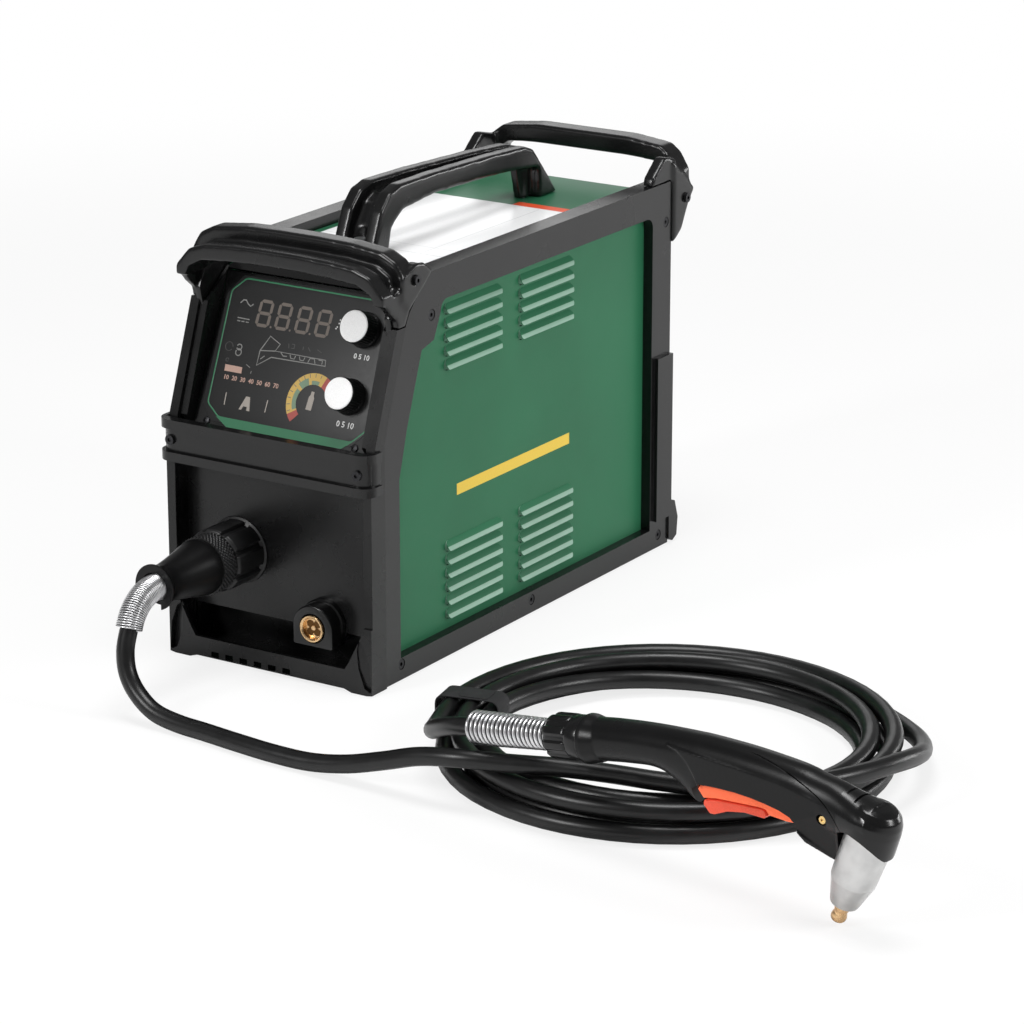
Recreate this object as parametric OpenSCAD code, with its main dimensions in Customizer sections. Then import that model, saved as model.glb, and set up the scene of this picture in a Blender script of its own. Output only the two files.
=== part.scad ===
// Portable inverter plasma cutter: the power unit, its hand torch and the coiled torch lead.
// Millimetres, +Z up, the control panel faces -Y and the origin is on the floor under the
// middle of the case. Most places are given as a distance behind the front feet, which
// fy() turns into Y, or in front of the rear pillars, which ry() turns into Y.

/* [Case] */
// Width over the two side frames
case_w = 216; // [200:1:260]
// Length from the front feet to the rear pillars
case_l = 520; // [480:1:640]
// Height of the side frames
case_h = 361; // [330:1:440]
// Thickness of each moulded side frame
frame_t = 10; // [8:0.5:12]
// Thickness of the sheet-steel panels, cover, tray and divider
sheet_t = 1.5; // [1:0.1:2]
// Height of the feet under the tray
foot_h = 6; // [4:0.5:8]
// Diameter of a foot
foot_d = 24; // [18:1:30]
// How far each foot stands in from the tray's long edge
foot_inset = 20; // [16:1:30]
// Width of the flange that a side frame lays over the top cover
flange_w = 10; // [8:1:16]
// How far the top cover lies below the side frames' top
cover_drop = 11; // [8:1:14]

/* [Front moulding] */
// How far the front moulding stands proud of the side frames, on each side
bezel_out = 2; // [1:0.5:4]
// Depth of the front moulding where the side frames start
bezel_d = 23; // [20:1:28]
// Depth of the recess that holds the sockets
recess_d = 20; // [16:1:20]
// Width of each front pillar
pillar_w = 9; // [8:0.5:12]
// Height at which the socket panel ends over the trough
trough_h = 46; // [40:1:52]
// Depth of the trough under the socket panel
trough_d = 45; // [40:1:60]
// Height of the lip in front of the trough
lip_h = 21; // [18:1:26]
// Width of a slot in the lip
slot_w = 8.3; // [6:0.1:10]
// Height of a slot in the lip
slot_h = 5; // [4:0.1:6]
// Distance between the slots' middles
slot_pitch = 15.6; // [14:0.1:18]
// Number of slots in the lip
slot_n = 6; // [4:1:8]

/* [Control panel] */
// Angle by which the panel leans back
panel_tilt = 24; // [15:1:30]
// Distance of the panel's foot behind the front feet
panel_y = 21; // [18:1:24]
// Height of the panel's foot
panel_z = 214; // [205:1:220]
// Thickness of the panel plate
panel_t = 3; // [2:0.5:4]
// Diameter of a knob
knob_d = 30; // [24:1:32]
// Height of a knob
knob_h = 18; // [14:1:22]
// Thickness of the white disc on a knob
cap_t = 1; // [0.6:0.1:1.5]
// Diameter of a knob's shaft
shaft_d = 6; // [5:0.5:8]
// Radial clearance of a shaft in its bush
shaft_gap = 0.05; // [0.02:0.01:0.08]
// Distance of the knobs from the middle of the panel
knob_x = 63; // [55:1:70]
// Height up the panel of the pressure knob
knob_low = 45.5; // [40:0.5:50]
// Height up the panel of the current knob
knob_high = 105; // [90:0.5:108]
// Width of the display window
window_w = 86; // [70:1:92]
// Height of the display window
window_h = 34; // [28:1:38]

/* [Bumpers] */
// How far the belt's lips stand out in front of the feet
belt_out = 8; // [5:1:12]
// Height of the belt's middle
belt_z = 202; // [195:1:208]
// Height of the belt
belt_h = 38; // [30:1:42]
// Height of the front bumper's arch over the side frames
front_arch = 29; // [20:1:40]
// Height of the rear bumper's arch over the side frames
rear_arch = 34; // [24:1:42]
// How far the rear bumper stands out behind the pillars
rear_out = 27; // [18:1:34]

/* [Carrying handle] */
// Distance of the handle's front foot behind the front feet
handle_y = 138; // [120:1:160]
// Distance of the handle's rear foot in front of the rear pillars
handle_rear = 66; // [50:1:90]
// Height of the grip's top over the side frames' top
handle_rise = 50; // [40:1:60]
// Width of the handle's front foot
handle_front_w = 46; // [40:1:56]
// Width of the handle's rear foot
handle_rear_w = 30; // [26:1:40]
// Thickness of the grip rails
grip_t = 20; // [16:1:24]
// Half width of the slot between the two rails at the front
grip_slot = 10; // [6:1:12]

/* [Side louvres] */
// Length of a louvre
louvre_l = 90; // [70:1:96]
// Distance between the rows
louvre_pitch = 12.7; // [11:0.1:14]
// How far a louvre stands out from its panel
louvre_out = 5; // [3:0.5:7]
// Distance of the front groups behind the front feet
louvre_y1 = 133; // [125:1:140]
// Distance of the rear groups behind the front feet
louvre_y2 = 254; // [245:1:262]
// Height of the lowest row's middle
louvre_low = 36; // [34:1:42]
// How far the highest row's middle lies below the side frames' top
louvre_top = 43; // [41:1:50]

/* [Rear panel] */
// Distance of the rear panel in front of the rear pillars' back
rear_in = 16; // [14:1:28]
// Thickness of the rear panel
rear_t = 3; // [2:0.5:4]
// Size of the square fan
fan_size = 120; // [100:1:120]
// Depth of the fan
fan_depth = 38; // [25:1:40]
// Diameter of the fan's hub
hub_d = 46; // [36:1:50]
// Diameter of the fan's axle
axle_d = 6; // [4:0.5:8]
// Height of the fan's middle
fan_z = 225; // [200:1:250]
// Distance of the fan's middle from the middle of the case
fan_x = -26; // [-30:1:-20]
// Diameter of the mains cable's hole in its gland
mains_d = 14; // [10:1:16]
// Diameter of the hole in the air inlet nipple
air_bore_d = 8; // [6:0.5:10]

/* [Sockets] */
// Distance of the torch socket from the middle of the case, to the left
torch_x = 45; // [40:1:50]
// Height of the torch socket's axis
torch_z = 103; // [98:1:110]
// Diameter of the torch socket's ribbed nut
nut_d = 58; // [52:1:60]
// Diameter of the knurled lock ring
ring_d = 54; // [50:1:58]
// Length of the knurled lock ring
ring_l = 17.4; // [14:0.1:20]
// Diameter of the connector body behind the ring
plug_d = 51; // [46:1:54]
// Diameter of the connector body's free end
plug_end_d = 41; // [38:1:44]
// Distance of the work socket from the middle of the case, to the right
work_x = 47; // [42:1:52]
// Height of the work socket's axis
work_z = 52; // [49:1:56]
// Diameter of the work socket's insulating boss
work_d = 42; // [38:1:50]
// Bore of the work socket for its plug
work_bore_d = 13; // [9:0.5:14]
// Depth of the work socket's bore
work_bore_l = 30; // [24:1:34]

/* [Torch] */
// Length of the torch's strain-relief spring
relief_l = 88; // [70:1:100]
// Outer diameter of that spring at the lead's end
relief_d = 29; // [27:0.5:31]
// Outer diameter of that spring at the collar nut
relief_end_d = 26; // [25:0.5:29]
// Thickness of its wire
relief_wire_d = 3.2; // [2.4:0.1:3.4]
// Diameter of the collar nut behind the handle
collar_d = 39; // [34:1:42]
// Width of the torch handle
grip_w = 34; // [30:1:38]
// Width of the trigger
trigger_w = 26; // [20:1:27]
// Diameter of the trigger's pivot pin
pin_d = 3; // [2.5:0.1:4]
// Diameter of the shield cup
cup_d = 40; // [36:1:42]
// Length of the shield cup
cup_l = 67; // [60:1:72]
// Angle by which the cup leans from the upright
cup_tilt = 17.5; // [10:0.5:25]
// Diameter of the copper tip
tip_d = 10; // [8:0.5:12]

/* [Torch lead] */
// Diameter of the torch lead
lead_d = 16; // [14:0.5:16.5]
// Radius of the coil's outermost turn at the middle of the lead
coil_r = 197; // [190:1:205]
// Distance between turns that lie side by side
coil_pitch = 19.4; // [19:0.1:20]
// Distance between the coil's two layers
layer_h = 17.2; // [17:0.1:18]
// Height of the lower layer's middle, which leaves room for the strap
coil_z = 9.6; // [9.5:0.1:11]
// Turns that spiral inwards in the lower layer
turns_in = 2; // [1.5:0.1:2]
// Turns that spiral outwards in the upper layer
turns_out = 1.872; // [1.4:0.001:1.9]
// Width of the strap round the coil
strap_w = 26; // [20:1:30]

/* [Hidden] */

$fn = 64;
slack = 0.1;        // clearance between still pieces that slide together
air = 0.3;          // clearance between a moving piece and its neighbours
hw = case_w / 2;
bw = hw + bezel_out;
skin_x = hw - frame_t;              // outer face of the side panels
in_x = skin_x - sheet_t;            // inner face of the side panels
cover_z = case_h - cover_drop;      // top face of the cover
rear_y = case_l / 2 - rear_in;      // back face of the rear panel
panel_top = (case_h - 20 - panel_z) / cos(panel_tilt);  // the panel's length up its own slope
hood_y = panel_y + panel_top * sin(panel_tilt);         // distance of the panel's top edge
tray_top = foot_h + sheet_t;

black = "#232426";
green = "#1f6240";
steel = "#b9bdbf";
brass = "#c9973f";

function fy(d) = d - case_l / 2;
function ry(d) = case_l / 2 - d;

// ---- helpers ----

// A profile in Y and Z, drawn with the distance behind the front feet, over X from x0 to x1
module across(x0, x1) {
    translate([x0, 0, 0]) rotate([90, 0, 90]) linear_extrude(x1 - x0) children();
}

// The same profile on both sides of the case
module both_sides(x0, x1) {
    across(x0, x1) children();
    across(-x1, -x0) children();
}

// An outline in X and Z over Y from y0 to y1
module along(y0, y1) {
    translate([0, y1, 0]) rotate([90, 0, 0]) linear_extrude(y1 - y0) children();
}

module block(x, y, z) {
    translate([x[0], y[0], z[0]]) cube([x[1] - x[0], y[1] - y[0], z[1] - z[0]]);
}

// A cylinder along Y, from y0 to y1
module rod_y(x, z, y0, y1, d) {
    translate([x, y1, z]) rotate([90, 0, 0]) cylinder(h = y1 - y0, d = d);
}

// A cylinder along X, from x0 to x1
module rod_x(y, z, x0, x1, d) {
    translate([x0, y, z]) rotate([0, 90, 0]) cylinder(h = x1 - x0, d = d);
}

// A turned shape along -Y: points give the distance towards the front and the radius
module turned(x, y, z, points) {
    translate([x, y, z]) rotate([90, 0, 0]) rotate_extrude() polygon([for (p = points) [p[1], p[0]]]);
}

// Axes of the control panel: X across, Z up its slope, -Y out of its face
module on_panel() {
    translate([0, fy(panel_y), panel_z]) rotate([-panel_tilt, 0, 0]) children();
}

function unit(v) = v / norm(v);

// A smooth curve through points, as rings for a tube
function bend(p, i, t) =
    let (a = p[max(i - 1, 0)], b = p[i], c = p[i + 1], d = p[min(i + 2, len(p) - 1)])
    0.5 * (2 * b + (c - a) * t + (2 * a - 5 * b + 4 * c - d) * t * t + (3 * b - a - 3 * c + d) * t * t * t);
function smooth(p, steps) =
    [for (i = [0:len(p) - 2]) for (k = [0:steps - 1]) bend(p, i, k / steps), p[len(p) - 1]];
function headings(q, first, last) =
    [for (i = [0:len(q) - 1]) i == 0 ? unit(first) : i == len(q) - 1 ? unit(last) : unit(q[i + 1] - q[i - 1])];
// One side direction per ring, carried along without twisting
function square_to(n, t) = unit(n - (n * t) * t);
function carried(t, n0) =
    [for (i = 0, n = square_to(n0, t[0]); i < len(t); i = i + 1, n = i < len(t) ? square_to(n,
        t[i]) : n) n];

module tube(q, t, n0, r, sides) {
    n = carried(t, n0);
    rings = len(q);
    points = [for (i = [0:rings - 1]) for (k = [0:sides - 1])
        q[i] + r * (cos(360 * k / sides) * n[i] + sin(360 * k / sides) * cross(t[i], n[i]))];
    walls = [for (i = [0:rings - 2]) for (k = [0:sides - 1])
        let (a = i * sides + k, b = i * sides + (k + 1) % sides)
        for (f = [[a, b + sides, b], [a, a + sides, b + sides]]) f];
    caps = [for (k = [1:sides - 2]) for (f = [[0, k, k + 1],
        [(rings - 1) * sides, (rings - 1) * sides + k + 1, (rings - 1) * sides + k]]) f];
    polyhedron(points = points, faces = concat(walls, caps), convexity = 10);
}

// The least gap between a wound tube and itself, on its rings that are skip or more apart
function least_gap(q, skip, d) =
    min([for (i = [0:len(q) - 1 - skip]) min([for (j = [i + skip:len(q) - 1]) norm(q[i] - q[j])])]) - d;

// ---- case ----

module base_tray() color(steel) {
    difference() {
        union() {
            block([-in_x, in_x], [fy(trough_d + 1), rear_y - rear_t], [foot_h, tray_top]);
            for (s = [0, 1]) mirror([s, 0, 0])
                block([in_x - sheet_t, in_x], [fy(trough_d + 1), rear_y - rear_t], [tray_top,
                    tray_top + 32]);
        }
        for (p = foot_spots) translate(p) cylinder(h = tray_top + 1, d = foot_bolt_d + 2 * slack);
        both_screw_holes();
    }
}

// A foot near each corner and one under the middle
foot_spots = [for (x = [-1, 1], y = [fy(85), ry(75)]) [x * (in_x - foot_inset), y], [0, 0]];
foot_bolt_d = 5;

module rubber_feet() color("#18191a") {
    for (p = foot_spots) translate(p) {
        cylinder(h = foot_h, d1 = foot_d - 2, d2 = foot_d);
        cylinder(h = tray_top + 3, d = foot_bolt_d);
    }
}

louvre_h = 9.4;
louvre_rows_low = 6;
louvre_rows_top = 5;

// One louvre: a pressed hood that is open below
module louvre_hood() {
    rotate([90, 0, 0]) translate([0, 0, -louvre_l / 2]) linear_extrude(louvre_l)
        polygon([[0, louvre_h / 2], [louvre_out * 0.75, 1], [louvre_out, -louvre_h / 2 + 1],
            [louvre_out - sheet_t, -louvre_h / 2 + 1], [louvre_out * 0.5, 0], [0, louvre_h / 2 - sheet_t]]);
    for (e = [-1, 1]) rotate([90, 0, 0]) translate([0, 0, e * (louvre_l - sheet_t) / 2 - sheet_t / 2])
        linear_extrude(sheet_t)
            polygon([[0, louvre_h / 2], [louvre_out * 0.75, 1], [louvre_out, -louvre_h / 2 + 1], [0,
                -louvre_h / 2 + 1]]);
}

module louvre_places() {
    for (y = [louvre_y1, louvre_y2]) {
        for (i = [0:louvre_rows_low - 1])
            translate([0, fy(y) + louvre_l / 2, louvre_low + i * louvre_pitch]) children();
        for (i = [0:louvre_rows_top - 1])
            translate([0, fy(y) + louvre_l / 2, case_h - louvre_top - i * louvre_pitch]) children();
    }
}

module side_panel() color(green) {
    difference() {
        translate([0, fy(0), 0]) across(in_x, skin_x)
            polygon([[bezel_d + 3, foot_h + 4], for (p = front_edge(3)) [p[0], min(p[1],
                cover_z - sheet_t)],
                [case_l - rear_in, cover_z - sheet_t], [case_l - rear_in, foot_h + 4]]);
        louvre_places() translate([in_x - 1, -louvre_l / 2 + sheet_t, -louvre_h / 2 + 1])
            cube([sheet_t + 2, louvre_l - 2 * sheet_t, louvre_h - 2 * sheet_t - 1]);
        both_screw_holes();
    }
    translate([skin_x, 0, 0]) louvre_places() louvre_hood();
}

module side_panel_right() side_panel();
module side_panel_left() mirror([1, 0, 0]) side_panel();

module top_cover() color(green) {
    difference() {
        block([-skin_x, skin_x], [fy(hood_back), rear_y], [cover_z - sheet_t, cover_z]);
        handle_bolt_places() translate([0, 0, cover_z - 5]) cylinder(h = 10, d = handle_screw_d + 0.4);
    }
}

hood_back = hood_y + 18;    // where the front moulding's hood ends and the cover starts

// The raked front edge that the side frames and side panels share, moved back by e
function front_edge(e) = [[bezel_d + e, 222], [60 + e, 322], [66 + e, case_h - 29], [hood_back - 1 + e,
    case_h]];

screw_d = 5;
screw_head_d = 9;
screw_head_t = 3;
// Frame screws, as distance behind the front feet and height
screw_spots = [[49, 16], [262, 14], [case_l - 30, 14], [case_l - 22, case_h - 38], [100, case_h - 39]];

module screw_places() {
    for (p = screw_spots) translate([0, fy(p[0]), p[1]]) children();
}
module both_screw_holes() {
    screw_places() rod_x(0, 0, -hw, hw, screw_d + 2 * slack);
}

open_front = 48;        // front edge of the side opening, behind the front feet
open_rear = 46;         // rear edge of the side opening, in front of the rear pillars
open_low = 22;          // height of the side opening's lower edge
open_top = 29;          // how far its upper edge lies below the frame's top
open_r = 10;            // radius of its rounded corners

// Outline of the side opening, with the slanted front edge and the step round the upper screw
module opening_outline() {
    top = case_h - open_top;
    back = case_l - open_rear;
    polygon([[open_front, open_low], [open_front, 186], [60, 228], [84, top - 38], [103, top - 33],
        for (a = [180:-15:90]) [124 + open_r * cos(a), top - open_r + open_r * sin(a)],
        for (a = [90:-15:0]) [back - open_r + open_r * cos(a), top - open_r + open_r * sin(a)],
        [back, open_low]]);
}

pad_t = 4;              // how far the lower rear pad stands proud
pad_top = 193;
pad_w = 28;

module side_frame() color(black) {
    difference() {
        union() {
            translate([0, fy(0), 0]) across(skin_x, hw)
                difference() {
                    polygon([[bezel_d, 1.5], for (p = front_edge(0)) p, [case_l - 12, case_h],
                        [case_l - 12, 1.5]]);
                    opening_outline();
                }
            translate([0, fy(0), 0]) across(skin_x - flange_w, skin_x)
                polygon([[hood_back, cover_z], [hood_back, case_h], [case_l - 12, case_h], [case_l - 12,
                    cover_z]]);
            block([hw, hw + pad_t], [ry(12 + pad_w), ry(12)], [30, pad_top]);
            // foot guard behind the pillar's lower end
            translate([0, fy(case_l), 0]) across(hw - 13, hw + 2)
                polygon([[-13, 46], [-13, 6], [-6, 2], [2, 6], [4, 24], [-2, 42]]);
        }
        screw_places() translate([skin_x - 1, 0, 0]) rotate([0, 90, 0]) {
            cylinder(h = frame_t + 2, d = screw_d + 0.4);
            translate([0, 0, frame_t + 1 - screw_head_t]) cylinder(h = screw_head_t + pad_t + 1,
                d = screw_head_d + 1);
        }
    }
}

module side_frame_right() side_frame();
module side_frame_left() mirror([1, 0, 0]) side_frame();

// A socket screw of a given shank length, with the underside of its head at the origin
module socket_screw(shank) difference() {
    union() {
        translate([0, 0, -shank]) cylinder(h = shank + 1, d = screw_d);
        cylinder(h = screw_head_t - 0.5, d = screw_head_d);
    }
    translate([0, 0, 1]) cylinder(h = 4, d = 4, $fn = 6);
}

module case_screws() color("#3a3c3e") {
    for (s = [0, 1]) mirror([s, 0, 0]) {
        screw_places() translate([hw - screw_head_t, 0, 0]) rotate([0, 90, 0])
            socket_screw(sheet_t + frame_t + 4 - screw_head_t);
        // bumper screws, on the corner blocks
        translate([bw + 2, fy(70), case_h - 1]) rotate([0, 90, 0]) socket_screw(10);
        translate([hw + 3, fy(case_l + 10), case_h - 20]) rotate([0, 90, 0]) socket_screw(12);
        // belt screws, in the belt's middle face
        translate([bw - 10, fy(-belt_out + 4), belt_z]) rotate([90, 0, 0]) socket_screw(8);
        // control panel screws
        on_panel() translate([panel_screw_x, 0, panel_screw_v]) rotate([90, 0, 0]) {
            cylinder(h = 2, d = 6.5);
            translate([0, 0, -panel_t - 4]) cylinder(h = panel_t + 5, d = 3);
        }
    }
}

// Holes for the bumper and belt screws
module bumper_screw_holes() {
    for (s = [0, 1]) mirror([s, 0, 0]) {
        rod_x(fy(70), case_h - 1, bw - 9, bw + 3, screw_d + 2 * slack);
        rod_x(fy(case_l + 10), case_h - 20, hw - 10, hw + 4, screw_d + 2 * slack);
        rod_y(bw - 10, belt_z, fy(-belt_out), fy(14), screw_d + 2 * slack);
    }
}

// ---- front moulding ----

chin_out = 0;           // the lip's face lies over the front feet's line
floor_t = 2;
pocket_x = bw - pillar_w;       // half width of the recess
belt_low = belt_z - belt_h / 2;
belt_top = belt_z + belt_h / 2;
pillar_top = 321;

module lip_outline() {
    // The front opening's sill with its two slanted corners
    polygon([[-bw, 1.5], [-bw, 62], [-pocket_x, 62], [-pocket_x, 58], [-bw + 24, 29], [-bw + 29, lip_h],
        [bw - 29, lip_h], [bw - 24, 29], [pocket_x, 58], [pocket_x, 62], [bw, 62], [bw, 1.5],
        [bw - 6, 0.5], [bw - 22, 0.5], [bw - 30, 3], [-bw + 30, 3], [-bw + 22, 0.5], [-bw + 6, 0.5]]);
}

module front_bezel() color(black) {
    difference() {
        union() {
            // sill, pillars and the wall behind the belt
            along(fy(chin_out), fy(4)) lip_outline();
            for (s = [0, 1]) mirror([s, 0, 0]) {
                block([pocket_x, bw], [fy(2), fy(bezel_d)], [62, belt_low]);
                block([pocket_x, bw], [fy(4), fy(bezel_d)], [1.5, 62]);
                block([in_x - 4, in_x - 1], [fy(bezel_d), fy(trough_d)], [tray_top + 1, belt_low + 20]);
            }
            block([-bw, bw], [fy(2), fy(8)], [belt_low, belt_top - 6]);
            for (s = [0, 1]) mirror([s, 0, 0]) block([pocket_x, bw], [fy(8), fy(bezel_d)], [belt_low, 222]);
            // socket panel
            block([-pocket_x, pocket_x], [fy(recess_d), fy(bezel_d)], [trough_h, belt_low + 8]);
            block([-pocket_x, pocket_x], [fy(8), fy(bezel_d)], [belt_low + 8, belt_low + 8 + floor_t]);
            // the socket panel comes down round the work socket
            rod_y(work_x, work_z, fy(recess_d), fy(trough_d), work_d + 4);
            // trough: roof, back and floor
            block([-in_x + 4, in_x - 4], [fy(bezel_d), fy(trough_d)], [trough_h, trough_h + floor_t]);
            block([-in_x + 4, in_x - 4], [fy(trough_d - floor_t), fy(trough_d)], [tray_top + 1, trough_h]);
            block([-in_x + 4, in_x - 4], [fy(4), fy(trough_d - floor_t)], [tray_top + 1,
                tray_top + 1 + floor_t]);
            // slanted pillars and the cheeks beside the control panel
            translate([0, fy(0), 0]) {
                both_sides(pocket_x, bw) polygon([[8, 222], [44, pillar_top], [57, pillar_top],
                    [bezel_d - 1, 222]]);
                both_sides(in_x - 3, in_x - slack) polygon([[bezel_d - 1, 207], [12, 222], [46, 318],
                    [60, 329],
                    [hood_y + 2, case_h - 18], [hood_y + 8, case_h - 20]]);
                both_sides(in_x - 3, pocket_x) polygon([[bezel_d - 1, 207], [12, 222], [46, 318], [57,
                    pillar_top],
                    [bezel_d - 1, 222]]);
                // hood between the control panel and the top cover
                across(-in_x + 3, in_x - 3) polygon([[hood_y - 1, case_h - 19], [hood_back, cover_z],
                    [hood_back, cover_z - 2.5], [hood_y + 3, case_h - 23]]);
            }
        }
        // ventilation slots in the sill
        for (i = [0:slot_n - 1])
            translate([-slot_first + i * slot_pitch - slot_w / 2, fy(-1), 4.2]) cube([slot_w, 6, slot_h]);
        // holes of the two sockets
        rod_y(-torch_x, torch_z, fy(recess_d - 1), fy(bezel_d + 1), torch_hole_d);
        rod_y(work_x, work_z, fy(recess_d - 1), fy(bezel_d + 1), work_neck_d + 2 * slack);
        rod_y(work_x, work_z, fy(bezel_d), fy(trough_d + 1), work_d);
        bumper_screw_holes();
        // room for the control panel plate
        on_panel() translate([-in_x, 0, -9]) cube([2 * in_x, 200, panel_top + 9]);
    }
}

slot_first = 60;
torch_hole_d = 50;
work_neck_d = 26;

belt_r = 14;            // radius of the belt's corners
module belt_ring(out, r) {
    // Plan of the belt: a band round the front and the two corners
    difference() {
        union() {
            translate([-bw - out / 2, fy(-out) + r]) square([2 * bw + out, out + 14 - r]);
            translate([-bw - out / 2 + r, fy(-out)]) square([2 * bw + out - 2 * r, out + 14]);
            for (s = [-1, 1]) translate([s * (bw + out / 2 - r), fy(-out) + r]) circle(r);
        }
        translate([-bw - slack / 2, fy(2)]) square([2 * bw + slack, 40]);
    }
}

belt_lip = 8.4;         // height of each lip
module belt_bumper() color(black) difference() {
    union() {
        for (z = [belt_low, belt_top - belt_lip])
            translate([0, 0, z]) linear_extrude(belt_lip) belt_ring(belt_out, belt_r);
        translate([0, 0, belt_low + belt_lip - 1]) linear_extrude(belt_h - 2 * belt_lip + 2)
            belt_ring(belt_out - 4, belt_r);
    }
    bumper_screw_holes();
}

// ---- bumpers ----

// An arch seen from the front: outer and inner half outlines are mirrored
module arch_outline(outer, inner) {
    n = len(outer) - 1;
    m = len(inner) - 1;
    polygon(concat([for (p = outer) [-p[0], p[1]]], [for (i = [0:n]) [outer[n - i][0], outer[n - i][1]]],
        [for (p = inner) p], [for (i = [0:m]) [-inner[m - i][0], inner[m - i][1]]]));
}

module front_bumper() color(black) difference() {
    front_bumper_solid();
    bumper_screw_holes();
}

module front_bumper_solid() {
    top = case_h + front_arch;
    // lower rail in front
    along(fy(22), fy(39)) arch_outline(
        [[bw, case_h - 16], [bw, case_h - 7], [bw - 4, top - 31], [bw - 14, top - 20],
            [bw - 30, top - 14.5], [50, top - 12], [20, top - 11]],
        [[bw - 10, case_h - 16], [bw - 14, top - 36], [bw - 28, top - 29], [50, top - 26.5],
            [20, top - 25.5]]);
    // upper rail behind it
    along(fy(50), fy(70)) arch_outline(
        [[bw, case_h - 14], [bw, case_h + 8], [bw - 6, top - 12], [bw - 20, top - 5],
            [55, top - 1], [20, top]],
        [[bw - 12, case_h - 14], [bw - 16, top - 28], [bw - 26, top - 21], [55, top - 17.5],
            [20, top - 17]]);
    // web at the bottom of the valley between them
    along(fy(37), fy(52)) arch_outline(
        [[bw - 7, case_h - 15], [bw - 11.4, top - 26], [bw - 23.6, top - 18.5], [54, top - 15.2],
            [19, top - 14.7]],
        [[bw - 12.8, case_h - 15], [bw - 17, top - 29], [bw - 27, top - 22], [56, top - 18.5],
            [21, top - 18]]);
    // legs on the slanted pillars and corner blocks on the side frames
    translate([0, fy(0), 0]) {
        both_sides(bw - 8, bw)
            polygon([[45, pillar_top], [57, pillar_top], [63, case_h - 30], [63, case_h - 13],
                [53, case_h - 4], [38, case_h - 10], [24.5, case_h - 13.5], [34, case_h - 24],
                [44, pillar_top + 8]]);
        both_sides(hw, bw + 2)
            polygon([[49, case_h - 16], [61, case_h - 27], [84, case_h - 10], [98, case_h + 2],
                [84, case_h + 12], [71, case_h + 14], [49, case_h + 4]]);
        both_sides(bw - 14, hw + 1)
            polygon([[66, case_h + air], [hood_back - 2, case_h + air], [84, case_h + 11],
                [66, case_h + 10.5]]);
    }
}

module rear_bumper() color(black) difference() {
    rear_bumper_solid();
    bumper_screw_holes();
}

module rear_bumper_solid() {
    top = case_h + rear_arch;
    along(ry(3), ry(-rear_out + 6)) arch_outline(
        [[hw + 1, case_h - 20], [hw + 1, case_h + 6], [hw - 9, top - 12], [hw - 19, top - 4.5],
            [50, top], [20, top]],
        [[hw - 13, case_h - 20], [hw - 15, top - 28], [hw - 26, top - 20], [50, top - 18],
            [20, top - 18]]);
    translate([0, fy(case_l), 0]) {
        // knuckles behind the rear pillars
        both_sides(hw - 13, hw + 3)
            polygon([[-11.7, case_h - 60], [-6, case_h - 57], [4, case_h - 50],
                [rear_out - 10, case_h - 26], [rear_out - 1, case_h - 16], [rear_out, case_h - 13],
                [8, case_h + 3], [-11.7, case_h + 18]]);
        // legs that lean forwards over the side frames
        both_sides(hw - 12, hw)
            polygon([[-47, case_h + air], [-45, case_h + 8], [-24, case_h + 25], [-3, case_h + 20],
                [0, case_h - 10], [-11.7, case_h - 10], [-11.7, case_h + air]]);
    }
}

// ---- control panel ----

window_x = -15;         // middle of the display window, across the panel
window_v = 103;         // and up the panel
panel_half = in_x - 3.5;

module control_panel() color("#1b1c1d") on_panel() difference() {
    translate([-panel_half, 0, -8]) cube([2 * panel_half, panel_t, panel_top + 7]);
    for (v = [knob_low, knob_high]) rod_y(knob_x, v, -1, panel_t + 1, bush_d + 0.2);
    translate([window_x - window_w / 2, -1, window_v - window_h / 2]) cube([window_w, panel_t + 2,
        window_h]);
    for (s = [-1, 1]) rod_y(s * panel_screw_x, panel_screw_v, -1, panel_t + 1, 3.4);
}

bush_d = 10;
panel_screw_x = 78;
panel_screw_v = -4;
overlay_t = 0.4;

module panel_overlay() color("#202123") on_panel() difference() {
    translate([0, 0, 0]) rotate([90, 0, 0]) linear_extrude(overlay_t)
        polygon([[-panel_half + 5, 18], [-panel_half + 18, 3], [-56, 3], [-46, -6.5], [46, -6.5], [56, 3],
            [panel_half - 18, 3], [panel_half - 5, 18], [panel_half - 5, panel_top - 22],
                [panel_half - 18, panel_top - 4],
            [-panel_half + 18, panel_top - 4], [-panel_half + 5, panel_top - 22]]);
    for (v = [knob_low, knob_high]) rod_y(knob_x, v, -2, 1, bush_d + 2);
}

module display_window() color("#3a2a2a") on_panel()
    translate([window_x - window_w / 2 + slack, 0, window_v - window_h / 2 + slack])
        cube([window_w - 2 * slack, panel_t, window_h - 2 * slack]);

board_gap = 9;          // from the panel's back to the display board

module display_board() color("#1d5c38") on_panel() {
    translate([-80, panel_t + board_gap, 20]) difference() {
        cube([122, 1.6, 104]);
        translate([20, -1, 20]) rotate([-90, 0, 0]) cylinder(h = 4, d = 3.2);
        translate([100, -1, 12]) rotate([-90, 0, 0]) cylinder(h = 4, d = 3.2);
    }
    // four digit blocks behind the window
    for (i = [0:3]) translate([window_x - window_w / 2 + 3 + i * 20.4, panel_t + 0.5, window_v - 14])
        cube([18.6, board_gap - 0.5, 28]);
    // stand-offs to the panel
    for (x = [-76, 36], z = [26, 82]) rod_y(x, z, panel_t, panel_t + board_gap, 6);
}

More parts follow.
